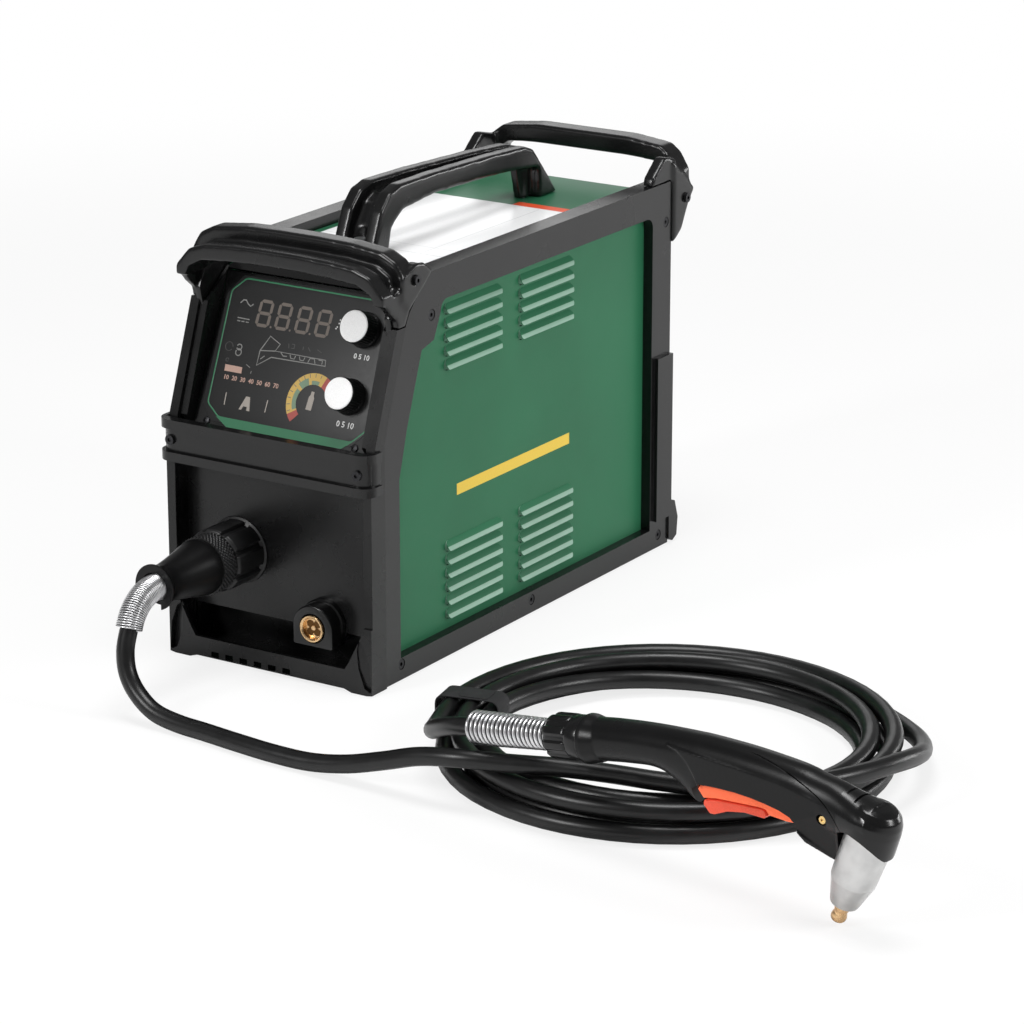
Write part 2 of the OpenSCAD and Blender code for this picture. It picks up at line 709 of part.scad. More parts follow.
module knob(v) on_panel() difference() {
    translate([knob_x, -overlay_t - air, v]) rotate([90, 0, 0]) rotate_extrude()
        polygon([[0, 0], [knob_d / 2 + 1.2, 0], [knob_d / 2 + 1.2, 1.5], [knob_d / 2, 3],
            [knob_d / 2, knob_h - 0.8], [knob_d / 2 - 0.8, knob_h], [0, knob_h]]);
    rod_y(knob_x, v, -knob_h + 4, 1, shaft_d + 2 * slack);
    rod_y(knob_x, v, -4, 1, bush_d + 2 * air);
}

module knob_cap(v) on_panel()
    rod_y(knob_x, v, -overlay_t - air - knob_h - cap_t, -overlay_t - air - knob_h, knob_d - 1.6);

module knob_shaft(v) on_panel()
    rod_y(knob_x, v, -knob_h + 4.2, panel_t + 14, shaft_d);

module current_knob() color(black) knob(knob_high);
module pressure_knob() color(black) knob(knob_low);
module current_knob_cap() color("#f2f2f0") knob_cap(knob_high);
module pressure_knob_cap() color("#f2f2f0") knob_cap(knob_low);
module current_shaft() color(steel) knob_shaft(knob_high);
module pressure_shaft() color(steel) knob_shaft(knob_low);

module current_encoder() color("#3f6d9c") on_panel() difference() {
    union() {
        translate([knob_x - 8, panel_t, knob_high - 8]) cube([16, 16, 16]);
        rod_y(knob_x, knob_high, -3, panel_t, bush_d);
    }
    rod_y(knob_x, knob_high, -4, panel_t + 14 + air, shaft_d + 2 * shaft_gap);
}

regulator_l = 62;

module pressure_regulator() color("#a9adb0") on_panel() difference() {
    union() {
        rod_y(knob_x, knob_low, panel_t, panel_t + 30, 34);
        rod_y(knob_x, knob_low, panel_t + 30, panel_t + regulator_l, 26);
        rod_y(knob_x, knob_low, -3, panel_t, bush_d);
    }
    rod_y(knob_x, knob_low, -4, panel_t + 14 + air, shaft_d + 2 * shaft_gap);
}

// ---- carrying handle ----

handle_screw_d = 6;
leg_front = 42;         // how far the grip's front end lies behind its front foot
leg_rear = 52;          // and its rear end in front of its rear foot

function handle_back() = case_l - handle_rear;
module handle_bolt_places() {
    translate([0, fy(handle_y + 10), 0]) children();
    translate([0, fy(handle_back() - 40), 0]) children();
}

module handle_side() {
    // Side view of the handle: a low bridge with raked legs
    top = case_h + handle_rise;
    y0 = handle_y;
    y1 = handle_back();
    polygon([[y0 - 4, cover_z], [y0 + 2, case_h + 8], [y0 + 12, top - 19], [y0 + 26, top - 5],
        [y0 + leg_front, top],
        [y0 + leg_front + 60, top - 0.5], [y1 - 110, top - 4], [y1 - leg_rear - 6, top - 7],
        [y1 - leg_rear + 8, top - 12], [y1, cover_z], [y1 - leg_rear + 3, cover_z],
        [y1 - leg_rear - 6, top - 8 - grip_t], [y1 - 110, top - 4 - grip_t],
        [y0 + leg_front + 60, top - grip_t], [y0 + leg_front + 6, top - grip_t - 4],
        [y0 + 28, top - grip_t - 17], [y0 + 22, cover_z]]);
}

module carry_handle() color(black) difference() {
    intersection() {
        translate([0, fy(0), 0]) across(-60, 60) handle_side();
        translate([0, 0, cover_z]) linear_extrude(200)
            plan_taper(handle_front_w / 2, handle_rear_w / 2, handle_back() + 5);
    }
    // channel between the rails, open down the front leg and through under the grip
    intersection() {
        translate([0, fy(0), 0]) across(-60, 60) handle_channel();
        translate([0, 0, cover_z]) linear_extrude(200)
            plan_taper(grip_slot, grip_slot / 3, handle_back() - leg_rear - 4);
    }
    // hollows beside the web and boss of the rear leg
    difference() {
        translate([0, fy(handle_back()), 0]) both_sides(4, 40)
            polygon([[-60, cover_z - 1], [-33, cover_z - 1], [-36, case_h + handle_rise - 31],
                [-60, case_h + handle_rise - 29]]);
        translate([0, fy(handle_back() - 40), cover_z]) cylinder(h = 60, d = 14);
    }
    // screw holes in the two feet, the front one with a well for the head
    handle_bolt_places() translate([0, 0, cover_z - 1]) cylinder(h = 24, d = handle_screw_d + 0.4);
    translate([0, fy(handle_y + 10), cover_z + 12]) cylinder(h = 100, d = 14);
}

// Plan outline from the handle's front end to y_end, w0 and w1 to each side
module plan_taper(w0, w1, y_end) {
    polygon([[-w0, fy(handle_y - 10)], [w0, fy(handle_y - 10)], [w1, fy(y_end)], [-w1, fy(y_end)]]);
}

module handle_channel() {
    top = case_h + handle_rise;
    y0 = handle_y;
    y_end = handle_back() - leg_rear - 4;
    polygon([[y0 - 12, case_h + 3], [y0 + 11, case_h + 3], [y0 + 16, top - 36], [y0 + 30, top - 17],
        [y0 + 44, top - 10], [y0 + 46, case_h + 10], [y_end, case_h + 10], [y_end, top + 10],
        [y0 - 12, top + 10]]);
}

module handle_screws() color(steel) {
    // bolt with a nut in the front foot
    translate([0, fy(handle_y + 10), cover_z]) {
        translate([0, 0, -12]) cylinder(h = 24, d = handle_screw_d);
        translate([0, 0, 12]) cylinder(h = 4, d = 11);
        translate([0, 0, -sheet_t - 5]) cylinder(h = 5, d = 13, $fn = 6);
    }
    // screw from below into the rear boss
    translate([0, fy(handle_back() - 40), cover_z - sheet_t]) {
        translate([0, 0, -4]) cylinder(h = 4, d = 11);
        translate([0, 0, -1]) cylinder(h = 22, d = handle_screw_d);
    }
}

// ---- rear panel ----

gland_x = 58;
gland_z = 70;
inlet_x = -60;
inlet_z = 70;
switch_x = 62;
switch_z = 230;
switch_w = 22;
switch_h = 30;

module rear_panel() color(black) difference() {
    union() {
        block([-in_x, in_x], [rear_y - rear_t, rear_y], [foot_h, cover_z - sheet_t]);
        // side flanges that the frame screws reach
        for (s = [0, 1]) mirror([s, 0, 0])
            block([in_x - 2.5, in_x], [rear_y - 20, rear_y - rear_t + 1], [tray_top + 34,
                cover_z - sheet_t]);
    }
    both_screw_holes();
    rod_y(fan_x, fan_z, rear_y - rear_t - 1, rear_y + 1, fan_size - 8);
    rod_y(gland_x, gland_z, rear_y - rear_t - 1, rear_y + 1, mains_d + 10);
    rod_y(inlet_x, inlet_z, rear_y - rear_t - 1, rear_y + 1, air_bore_d + 10);
    block([switch_x - switch_w / 2, switch_x + switch_w / 2], [rear_y - rear_t - 1, rear_y + 1],
        [switch_z - switch_h / 2, switch_z + switch_h / 2]);
    for (x = [-1, 1], z = [-1, 1])
        rod_y(fan_x + x * fan_bolt, fan_z + z * fan_bolt, rear_y - rear_t - 1, rear_y + 1, fan_hole_d);
}

fan_bolt = fan_size / 2 - 7.5;
fan_hole_d = 4.4;
fan_front = rear_y - rear_t - fan_depth;
blade_tip = fan_size - 10;

module fan_housing() color("#1a1b1c") difference() {
    union() {
        difference() {
            block([fan_x - fan_size / 2, fan_x + fan_size / 2], [fan_front, rear_y - rear_t],
                [fan_z - fan_size / 2, fan_z + fan_size / 2]);
            rod_y(fan_x, fan_z, fan_front - 1, rear_y, fan_size - 5);
        }
        // motor plate on two crossed arms
        rod_y(fan_x, fan_z, fan_front + 0.2, fan_front + 3, hub_d);
        rod_y(fan_x, fan_z, fan_front + 2, fan_front + 22, 12);
        for (a = [0, 90]) translate([fan_x, fan_front + 0.6, fan_z]) rotate([0, a, 0])
            translate([-fan_size / 2 + 1, 0, -3]) cube([fan_size - 2, 2, 6]);
    }
    rod_y(fan_x, fan_z, fan_front + 2, fan_front + 23, axle_d + 2 * shaft_gap);
    for (x = [-1, 1], z = [-1, 1])
        rod_y(fan_x + x * fan_bolt, fan_z + z * fan_bolt, fan_front - 1, rear_y, fan_hole_d);
}

blades = 7;

module fan_rotor() color("#2a2b2d") {
    difference() {
        rod_y(fan_x, fan_z, fan_front + 3 + air, fan_front + fan_depth - 4, hub_d);
        rod_y(fan_x, fan_z, fan_front + 2, fan_front + 22 + air, hub_d - 6);
    }
    rod_y(fan_x, fan_z, fan_front + 2 + air, fan_front + 30, axle_d);
    for (i = [0:blades - 1]) translate([fan_x, fan_front + fan_depth / 2 + 1, fan_z]) rotate([0,
        i * 360 / blades, 0])
        translate([hub_d / 2 - 1, 0, 0]) rotate([52, 0, 0])
            translate([0, -1, -16]) cube([blade_tip / 2 - hub_d / 2, 2, 32]);
}

module fan_guard() color(steel) {
    for (r = [14:10:54]) translate([fan_x, rear_y + 4, fan_z]) rotate([90, 0, 0])
        rotate_extrude() translate([r, 0]) circle(d = 2, $fn = 24);
    for (a = [45, 135]) translate([fan_x, rear_y + 2, fan_z]) rotate([0, a, 0])
        translate([-fan_bolt * sqrt(2), -1, -2]) cube([2 * fan_bolt * sqrt(2), 2.2, 4]);
    for (x = [-1, 1], z = [-1, 1]) rod_y(fan_x + x * fan_bolt, fan_z + z * fan_bolt, rear_y, rear_y + 5, 9);
}

rocker_half = 8;        // half the travel of the power rocker, in degrees

module power_switch() color(black) difference() {
    union() {
        block([switch_x - switch_w / 2 + slack, switch_x + switch_w / 2 - slack], [rear_y - 26, rear_y],
            [switch_z - switch_h / 2 + slack, switch_z + switch_h / 2 - slack]);
        block([switch_x - switch_w / 2 - 3, switch_x + switch_w / 2 + 3], [rear_y, rear_y + 2],
            [switch_z - switch_h / 2 - 3, switch_z + switch_h / 2 + 3]);
    }
    block([switch_x - switch_w / 2 + 2, switch_x + switch_w / 2 - 2], [rear_y - 12, rear_y + 3],
        [switch_z - switch_h / 2 + 1.5, switch_z + switch_h / 2 - 1.5]);
    rod_x(rear_y - 1, switch_z, switch_x - switch_w / 2 + 0.6, switch_x + switch_w / 2 - 0.6,
        pivot_d + 2 * shaft_gap);
}

pivot_d = 3;

module power_rocker() color("#a02520") {
    x0 = switch_x - switch_w / 2 + 2 + air;
    x1 = switch_x + switch_w / 2 - 2 - air;
    translate([0, rear_y - 1, switch_z]) across(x0, x1) rotate(rocker_half)
        polygon([[-7, -4], [-1.5, -11.5], [3.8, -12], [2.2, 0], [3.8, 12], [-1.5, 11.5], [-7, 4]]);
    rod_x(rear_y - 1, switch_z, switch_x - switch_w / 2 + 0.8, switch_x + switch_w / 2 - 0.8, pivot_d);
}

module mains_gland() color("#1c1d1e") difference() {
    union() {
        rod_y(gland_x, gland_z, rear_y - rear_t - 10, rear_y, mains_d + 9.8);
        translate([gland_x, rear_y + 6, gland_z]) rotate([90, 0, 0]) cylinder(h = 6, d = mains_d + 20,
            $fn = 6);
        turned(gland_x, rear_y + 24, gland_z, [[0, 0], [0, mains_d / 2 + 4], [8, mains_d / 2 + 8], [18,
            mains_d / 2 + 8], [18, 0]]);
        translate([gland_x, rear_y - rear_t, gland_z]) rotate([90, 0, 0]) cylinder(h = 5,
            d = mains_d + 18, $fn = 6);
    }
    rod_y(gland_x, gland_z, rear_y - rear_t - 11, rear_y + 30, mains_d);
}

module air_inlet() color(brass) difference() {
    union() {
        rod_y(inlet_x, inlet_z, rear_y - rear_t - 16, rear_y, air_bore_d + 9.8);
        translate([inlet_x, rear_y + 9, inlet_z]) rotate([90, 0, 0]) cylinder(h = 9, d = air_bore_d + 18,
            $fn = 6);
        turned(inlet_x, rear_y + 34, inlet_z, [[0, 0], [0, 6.4], [4, 7.4], [7, 6.2], [11, 6.2], [13,
            7.6], [25, 7.6], [25, 0]]);
        translate([inlet_x, rear_y - rear_t, inlet_z]) rotate([90, 0, 0]) cylinder(h = 5,
            d = air_bore_d + 17, $fn = 6);
    }
    rod_y(inlet_x, inlet_z, rear_y - rear_t - 17, rear_y + 40, air_bore_d);
}

// ---- inside ----

plate_x = 34;           // the divider stands beside the wind tunnel
valve_l = 46;

// Nylon air line from the inlet to the solenoid valve and on to the torch socket
module air_line() color("#2f62a8") {
    z = inlet_z;
    rod_y(inlet_x, z, fy(150), rear_y - rear_t - 16, 8);
    block([inlet_x - 14, inlet_x + 14], [fy(150 - valve_l), fy(150)], [z - 16, z + 16]);
    translate([inlet_x, fy(150 - valve_l / 2), z + 16]) cylinder(h = 34, d = 24);
    rod_y(inlet_x, z, fy(socket_back + 22), fy(150 - valve_l), 8);
    block([inlet_x - 7, -torch_x + 7], [fy(socket_back + 8), fy(socket_back + 22)], [z - 7, z + 7]);
    translate([-torch_x, fy(socket_back + 15), z + 7]) cylinder(h = torch_z - z - 13, d = 8);
    rod_y(-torch_x, torch_z, fy(socket_back), fy(socket_back + 22), 12);
}

module divider_plate() color(steel) {
    block([plate_x, plate_x + sheet_t], [fy(120), ry(rear_in + fan_depth + 8)], [tray_top, cover_z - 30]);
    block([plate_x + sheet_t, plate_x + 12], [fy(120), ry(rear_in + fan_depth + 8)], [tray_top,
        tray_top + sheet_t]);
}

sink_low = 118;
sink_base_t = 8;
fin_n = 9;

module heat_sink() color("#9ba1a6") {
    x0 = -in_x + 8;
    block([x0, plate_x], [fy(140), fan_front - 12], [sink_low + 52, sink_low + 52 + sink_base_t]);
    for (i = [0:fin_n - 1])
        block([x0 + 3 + i * 13, x0 + 6 + i * 13], [fy(140), fan_front - 12], [sink_low, sink_low + 52]);
    for (y = [fy(140), fan_front - 24])
        block([x0, x0 + 4], [y, y + 12], [tray_top, sink_low + 52]);
    for (y = [fy(140), fan_front - 24])
        block([plate_x - 4, plate_x], [y, y + 12], [tray_top, sink_low + 52]);
}

module power_board() color("#1d5c38") {
    z = sink_low + 52 + sink_base_t;
    block([-in_x + 14, plate_x - 6], [fy(150), fan_front - 16], [z + 8, z + 9.6]);
    for (i = [0:5]) block([-in_x + 22 + i * 18, -in_x + 38 + i * 18], [fy(170), fy(190)], [z, z + 8]);
    for (i = [0:5]) block([-in_x + 22 + i * 18, -in_x + 38 + i * 18], [fy(300), fy(320)], [z, z + 8]);
    // smoothing capacitors
    for (i = [0, 1], k = [0:2]) translate([-in_x + 38 + i * 44, fy(215 + k * 42), z + 9.6])
        cylinder(h = 52, d = 35);
}

module transformer() color("#b8892f") {
    x0 = plate_x + 14;
    // cores and windings of the main transformer and the output choke
    for (y = [170, 300]) {
        difference() {
            block([x0, in_x - 4], [fy(y), fy(y + 84)], [tray_top, tray_top + 86]);
            block([x0 - 1, in_x], [fy(y + 16), fy(y + 68)], [tray_top + 18, tray_top + 68]);
        }
        rod_x(fy(y + 42), tray_top + 43, x0, in_x - 4, 50 - 2 * slack);
    }
}

// ---- sockets and torch connector ----

socket_back = bezel_d + 18;     // distance of the torch socket's back behind the front feet
nut_front = -20;                // distances behind the front feet, in front of them if negative
ring_front = nut_front - air - ring_l;
plug_front = -104;
spigot_d = 40;

module torch_socket() color("#1a1b1c") difference() {
    union() {
        rod_y(-torch_x, torch_z, fy(recess_d - 3), fy(recess_d), nut_d + 4);
        rod_y(-torch_x, torch_z, fy(recess_d), fy(socket_back), torch_hole_d - 0.2);
        rod_y(-torch_x, torch_z, fy(nut_front), fy(recess_d - 3), nut_d - 4);
        // eight broad ribs to turn it by
        for (i = [0:7]) translate([-torch_x, fy(recess_d - 3), torch_z]) rotate([90, i * 45, 0])
            translate([-8, 0, 0]) cube([16, nut_d / 2, recess_d - 3 - nut_front - 2]);
    }
    rod_y(-torch_x, torch_z, fy(nut_front - 1), fy(socket_back - 6), spigot_d + 4.2);
}

knurls = 48;

module lock_ring() color("#202122") difference() {
    translate([-torch_x, fy(ring_front) + ring_l, torch_z]) rotate([90, 0, 0]) linear_extrude(ring_l)
        polygon([for (i = [0:2 * knurls - 1]) (ring_d / 2 - (i % 2) * 0.7) * [cos(i * 180 / knurls),
            sin(i * 180 / knurls)]]);
    rod_y(-torch_x, torch_z, fy(ring_front) - 1, fy(ring_front) + ring_l + 1, spigot_d + 2 * shaft_gap);
}

plug_back = socket_back - 12;

module connector_body() color("#1e1f20") difference() {
    turned(-torch_x, fy(plug_back), torch_z, [[0, 0], [0, spigot_d / 2 + 2],
        [plug_back - nut_front - 4, spigot_d / 2 + 2], [plug_back - nut_front - 4, spigot_d / 2],
        [plug_back - ring_front + air, spigot_d / 2], [plug_back - ring_front + air, plug_d / 2],
        [plug_back - ring_front + 22, plug_d / 2], [plug_back - ring_front + 44, plug_end_d / 2 + 1],
        [plug_back - plug_front, plug_end_d / 2], [plug_back - plug_front, 0]]);
    // open end with a notch below, where the spring leans out
    rod_y(-torch_x, torch_z, fy(plug_front - 1), fy(plug_front + guard_lead), guard_d + 2 * air);
    block([-torch_x - 8, -torch_x + 8], [fy(plug_front - 1), fy(plug_front + 9)], [torch_z - 30, torch_z]);
}

guard_d = 24;           // outer diameter of the spring at the connector
guard_wire_d = 2.5;     // thickness of its wire
guard_r = 38;           // radius of its bend
guard_turn = 75;        // angle through which it bends down
guard_lead = 24;        // straight length inside the connector
guard_pitch = 4.2;      // least distance between its curls
sleeve_d = 16.4;        // the core inside a strain-relief spring

// A point on the middle line of the bent spring, s along it from inside the connector, and its heading
function guard_at(s) = s < guard_lead
    ? [-torch_x, fy(plug_front + guard_lead - s), torch_z]
    : let (a = (s - guard_lead) / guard_r * 180 / PI)
        [-torch_x, fy(plug_front) - guard_r * sin(a), torch_z - guard_r * (1 - cos(a))];
function guard_heading(s) = let (a = max(0, (s - guard_lead) / guard_r * 180 / PI)) [0, -cos(a), -sin(a)];
guard_l = guard_lead + guard_r * guard_turn * PI / 180;
guard_rings = floor((guard_l - 2 * guard_wire_d) / guard_pitch) * 8;
guard_curls = [for (i = [0:guard_rings])
    let (s = guard_wire_d + i / guard_rings * (guard_l - 2 * guard_wire_d), h = guard_heading(s),
        a = i * 45,
        r = (guard_d - guard_wire_d) / 2)
    guard_at(s) + r * (cos(a) * [1, 0, 0] + sin(a) * cross(h, [1, 0, 0]))];
guard_wire = with_ends(guard_curls, guard_heading(0), guard_heading(guard_l), guard_wire_d);

// A wound wire's points with a straight end one thickness long at each side
function with_ends(w, first, last, d) = concat([w[0] - d * first], w, [w[len(w) - 1] + d * last]);

function along_wire(w) = [for (i = [0:len(w) - 1]) unit(w[min(i + 1, len(w) - 1)] - w[max(i - 1, 0)])];

module connector_spring() color(steel) {
    tube(guard_wire, along_wire(guard_wire), [1, 0, 0.3], guard_wire_d / 2, 6);
    // the rubber core inside the spring
    rod_y(-torch_x, torch_z, fy(plug_front), fy(plug_front + guard_lead), sleeve_d);
    translate([-torch_x, fy(plug_front), torch_z - guard_r]) rotate([90, 0, 90]) rotate([0, 0, 90])
        rotate_extrude(angle = guard_turn) translate([guard_r, 0]) circle(d = sleeve_d);
}

work_front = 0;

module work_socket() color("#1a1b1c") difference() {
    union() {
        difference() {
            rod_y(work_x, work_z, fy(work_front), fy(recess_d), work_d);
            block([work_x - 40, work_x + 40], [fy(work_front - 1), fy(recess_d + 1)],
                [work_z - 40, work_z - work_d / 2 + 4]);
        }
        rod_y(work_x, work_z, fy(recess_d), fy(bezel_d + 14), work_neck_d);
    }
    rod_y(work_x, work_z, fy(work_front - 1), fy(bezel_d + 15), brass_d + 2 * slack);
    rod_y(work_x, work_z, fy(work_front - 1), fy(work_front + 3), brass_d + 8);
}

brass_d = 20;

module work_contact() color(brass) difference() {
    union() {
        rod_y(work_x, work_z, fy(work_front - 2), fy(bezel_d + 22), brass_d);
        rod_y(work_x, work_z, fy(work_front - 2), fy(work_front + 2), brass_d + 5);
    }
    rod_y(work_x, work_z, fy(work_front - 3), fy(work_front - 2 + work_bore_l), work_bore_d);
}

// ---- torch lead ----

coil_c = [404, fy(13)];
coil_start = 70;        // angle at which the lead joins the lower layer
turns = turns_in + 0.5 + turns_out;
inner_r = coil_r - coil_pitch * turns_in;

// A point on the coil, u turns from its start: in along the floor, up a layer, and out again
function rise(t) = t * t * (3 - 2 * t);
function coil_at(u) =
    let (r = u < turns_in ? coil_r - coil_pitch * u
            : u < turns_in + 0.5 ? inner_r : inner_r + coil_pitch * (u - turns_in - 0.5),
        z = coil_z + layer_h * rise(min(1, max(0, (u - turns_in) * 2))),
        a = coil_start + 360 * u)
    [coil_c[0] + r * cos(a), coil_c[1] + r * sin(a), z];
coil_rings = ceil(turns * 24);
coil_first = [-sin(coil_start), cos(coil_start), 0];
coil_last = [-sin(coil_start + 360 * turns), cos(coil_start + 360 * turns), 0];
coil_line = with_ends([for (i = [0:coil_rings]) coil_at(turns * i / coil_rings)], coil_first, coil_last,
    lead_d);

module lead_coil() color("#1d1e1f")
    tube(coil_line, headings(coil_line, coil_first, coil_last), [0, 0, 1], lead_d / 2, 6);

guard_end = guard_at(guard_l);

// The free lead: from the spring at the connector to the floor, over the coil's near side,
// and down outside it to the lower layer's start
lead_points = [[-45, -146, 58], [-40, -150, 40], [-28, -153, 25], [-8, -156, 13], [18, -158, 8.5],
    [50, -161, 8], [88, -166, 8], [128, -170, 8], [166, -171, 9], [203, -171, 15], [240, -172, 26],
    [277, -173, 38], [315, -172, 44], [354, -160, 44], [394, -145, 44], [434, -135, 44],
    [474, -128, 44], [514, -117, 44], [552, -95, 44], [582, -63, 44], [601, -24, 43], [609, 18, 39],
    [607, 60, 31], [594, 100, 21], [571, 138, 13], [541, 166, 10], [512, 184, 9.6]];
lead_route = concat([guard_end], [for (p = lead_points) [p[0], fy(p[1]), p[2]]], [coil_line[0]]);
lead_line = smooth(lead_route, 2);

module torch_lead() color("#1d1e1f")
    tube(lead_line, headings(lead_line, guard_heading(guard_l), coil_first), [1, 0, 0], lead_d / 2, 8);

torch_at = [318, fy(-155)];     // where the lead enters the torch's spring, in plan
torch_turn = -8.7;              // direction of the torch in plan
relief_z = 66;                  // height of the spring's start
relief_tilt = 10;               // slope of the spring
relief_start = [torch_at[0], torch_at[1], relief_z];
relief_heading = [cos(torch_turn) * cos(relief_tilt), sin(torch_turn) * cos(relief_tilt), sin(relief_tilt)];

tail_points = [[242, -101, 31], [256, -121, 41], [276, -137, 52], [298, -149, 61]];
tail_route = concat([coil_line[len(coil_line) - 1]],
    [for (p = tail_points) [p[0], fy(p[1]), p[2]]], [relief_start]);
tail_line = smooth(tail_route, 2);

module lead_tail() color("#1d1e1f")
    tube(tail_line, headings(tail_line, coil_last, relief_heading), [0, 0, 1], lead_d / 2, 8);

strap_at = 192;         // angle of the strap round the coil
strap_t = 1.2;

module coil_strap() color("#161718") translate([coil_c[0], coil_c[1], 0]) rotate([0, 0, strap_at]) {
    r0 = inner_r - lead_d / 2 - 1;
    r1 = coil_r + lead_d / 2 + 1;
    top = coil_z + layer_h + lead_d / 2 + 0.4;
    difference() {
        block([r0 - strap_t, r1 + strap_t], [-strap_w / 2, strap_w / 2], [0.1, top + strap_t]);
        block([r0, r1], [-strap_w, strap_w], [0.1 + strap_t, top]);
    }
}

// ---- torch ----

// Axes of the torch: X along it in plan from the spring's start, Z up from the floor
module on_torch() translate([torch_at[0], torch_at[1], 0]) rotate([0, 0, torch_turn]) children();

relief_pitch = 4;       // least distance between its curls
relief_rings = floor((relief_l - 2 * relief_wire_d) / relief_pitch) * 8;
relief_curls = [for (i = [0:relief_rings])
    let (a = i * 45, t = i / relief_rings, r = ((1 - t) * relief_d + t * relief_end_d - relief_wire_d) / 2)
    [relief_wire_d + t * (relief_l - 2 * relief_wire_d), r * cos(a), r * sin(a)]];
relief_wire = with_ends(relief_curls, [1, 0, 0], [1, 0, 0], relief_wire_d);

module on_relief() on_torch() translate([0, 0, relief_z]) rotate([0, -relief_tilt, 0]) children();

module torch_spring() color(steel) on_relief() {
    tube(relief_wire, along_wire(relief_wire), [0, 1, 0], relief_wire_d / 2, 6);
    rotate([0, 90, 0]) cylinder(h = relief_l, d = sleeve_d);
}

collar_l = 36;

module torch_collar() color("#1c1d1e") on_relief() translate([relief_l, 0, 0]) rotate([0, 90, 0])
    difference() {
    union() {
        cylinder(h = collar_l - 8, d = collar_d - 3);
        translate([0, 0, collar_l - 8]) cylinder(h = 8, d = collar_d);
        for (i = [0:9]) rotate([0, 0, i * 36]) translate([-3, 0, 3]) cube([6, collar_d / 2, collar_l - 12]);
    }
    translate([0, 0, collar_l - 10]) cylinder(h = 11, d = 24);
}

// The end face of the collar nut, which leans with the spring: distance along the torch at height z
function collar_end(z) = let (l = relief_l + collar_l + slack)
    l * cos(relief_tilt) - (z - relief_z - l * sin(relief_tilt)) * tan(relief_tilt);
pin_s = 326;
pin_z = 78;

module torch_outline() {
    polygon([[collar_end(107), 107], [150, 110], [190, 117], [243, 124.5], [285, 127], [325, 125.5],
        [362, 119.5], [374, 116],
        [376, 92], [370, 76], [366, 56], [361, 54], [336, 73], [331, 74], [301, 81.5], [277, 83], [238, 82],
        [229, 69], [222, 76], [213, 80], [182, 80.5], [150, 74], [collar_end(70), 70]]);
}

module torch_handle() color("#222325") on_torch() difference() {
    translate([0, grip_w / 2, 0]) rotate([90, 0, 0]) linear_extrude(grip_w) torch_outline();
    // well for the trigger and its switch
    translate([0, trigger_w / 2 + air, 0]) rotate([90, 0, 0]) linear_extrude(trigger_w + 2 * air)
        polygon([[235, 60], [335, 60], [337, 84], [312, 96], [286, 96], [286, 108], [254, 108], [254,
            98], [235, 95]]);
    translate([pin_s, 0, pin_z]) rotate([90, 0, 0]) cylinder(h = grip_w + 2, d = pin_d + 2 * shaft_gap,
        center = true);
    // bore for the leads
    translate([118, 0, 88]) rotate([0, 84, 0]) cylinder(h = 40, d = 20);
    torch_screw_spots() translate([0, 0, 3 - grip_w / 2]) cylinder(h = grip_w, d = torch_screw_d + 2 * slack);
    torch_screw_spots() translate([0, 0, grip_w / 2 - 4]) cylinder(h = 10, d = 10);
}

torch_screw_d = 3.5;

// Along the torch, height, and the side that the screw goes in from
module torch_screw_spots() {
    for (p = [[362, 88, 90], [222, 96, -90], [150, 92, -90]])
        translate([p[0], 0, p[1]]) rotate([p[2], 0, 0]) children();
}

module torch_screws() color(brass) on_torch() {
    torch_screw_spots() {
        translate([0, 0, 4 - grip_w / 2]) cylinder(h = grip_w - 7, d = torch_screw_d);
        translate([0, 0, grip_w / 2 - 4]) cylinder(h = 2.4, d = 7);
    }
    // the trigger's pivot pin
    translate([pin_s, 0, pin_z]) rotate([90, 0, 0]) cylinder(h = grip_w - 1, d = pin_d, center = true);
}

module torch_slab(w) {
    translate([0, w / 2, 0]) rotate([90, 0, 0]) linear_extrude(w) children();
}

tongue_w = 12;          // width of the release's tongue in the trigger
release_travel = 4;     // how far the release slides back
release_slope = 2.7;    // slope of the face it slides on

module trigger() color("#e8572c") on_torch() difference() {
    torch_slab(trigger_w)
        polygon([[238, 80], [244, 88], [300, 88], [328, 83.5], [332, 76], [306, 71.5], [304, 76.2], [241,
            73.2]]);
    translate([pin_s, 0, pin_z]) rotate([90, 0, 0]) cylinder(h = grip_w, d = pin_d + 2 * shaft_gap,
        center = true);
    // track for the release's tongue
    torch_slab(tongue_w + 2 * air) translate([241, 73.2]) rotate(release_slope)
        polygon([[12, -2], [12, 7], [50 + air, 7], [50 + air, -2]]);
    torch_slab(tongue_w + 6) translate([241, 73.2]) rotate(release_slope)
        polygon([[12, 3 - air], [12, 7], [50 + air, 7], [50 + air, 3 - air]]);
}

module on_trigger() on_torch() translate([241, 0, 73.2]) rotate([0, -release_slope, 0]) children();

module trigger_release() color("#d8452a") on_trigger() {
    torch_slab(trigger_w)
        polygon([[4, -air], [2.5, -5], [5.5, -13.5], [11, -14.6], [29, -7], [60, -5.6], [60.5, -4],
            [60.5, -air]]);
    torch_slab(tongue_w)
        polygon([[12 + release_travel + air, -1], [12 + release_travel + air, 6.4], [50, 6.4], [50, -1]]);
    torch_slab(tongue_w + 5.4)
        polygon([[12 + release_travel + air, 3], [12 + release_travel + air, 6.4], [50, 6.4], [50, 3]]);
}

plunger_s = 270;        // where the switch's plunger meets the trigger
plunger_d = 5;

module torch_switch() color("#202224") on_torch() difference() {
    torch_slab(12) polygon([[256, 93], [284, 93], [284, 108], [256, 108]]);
    translate([plunger_s, 0, 90]) cylinder(h = 12.6, d = plunger_d + 2 * shaft_gap);
}

module switch_plunger() color("#d8d8d2") on_torch()
    translate([plunger_s, 0, 88 + air]) cylinder(h = 10, d = plunger_d);

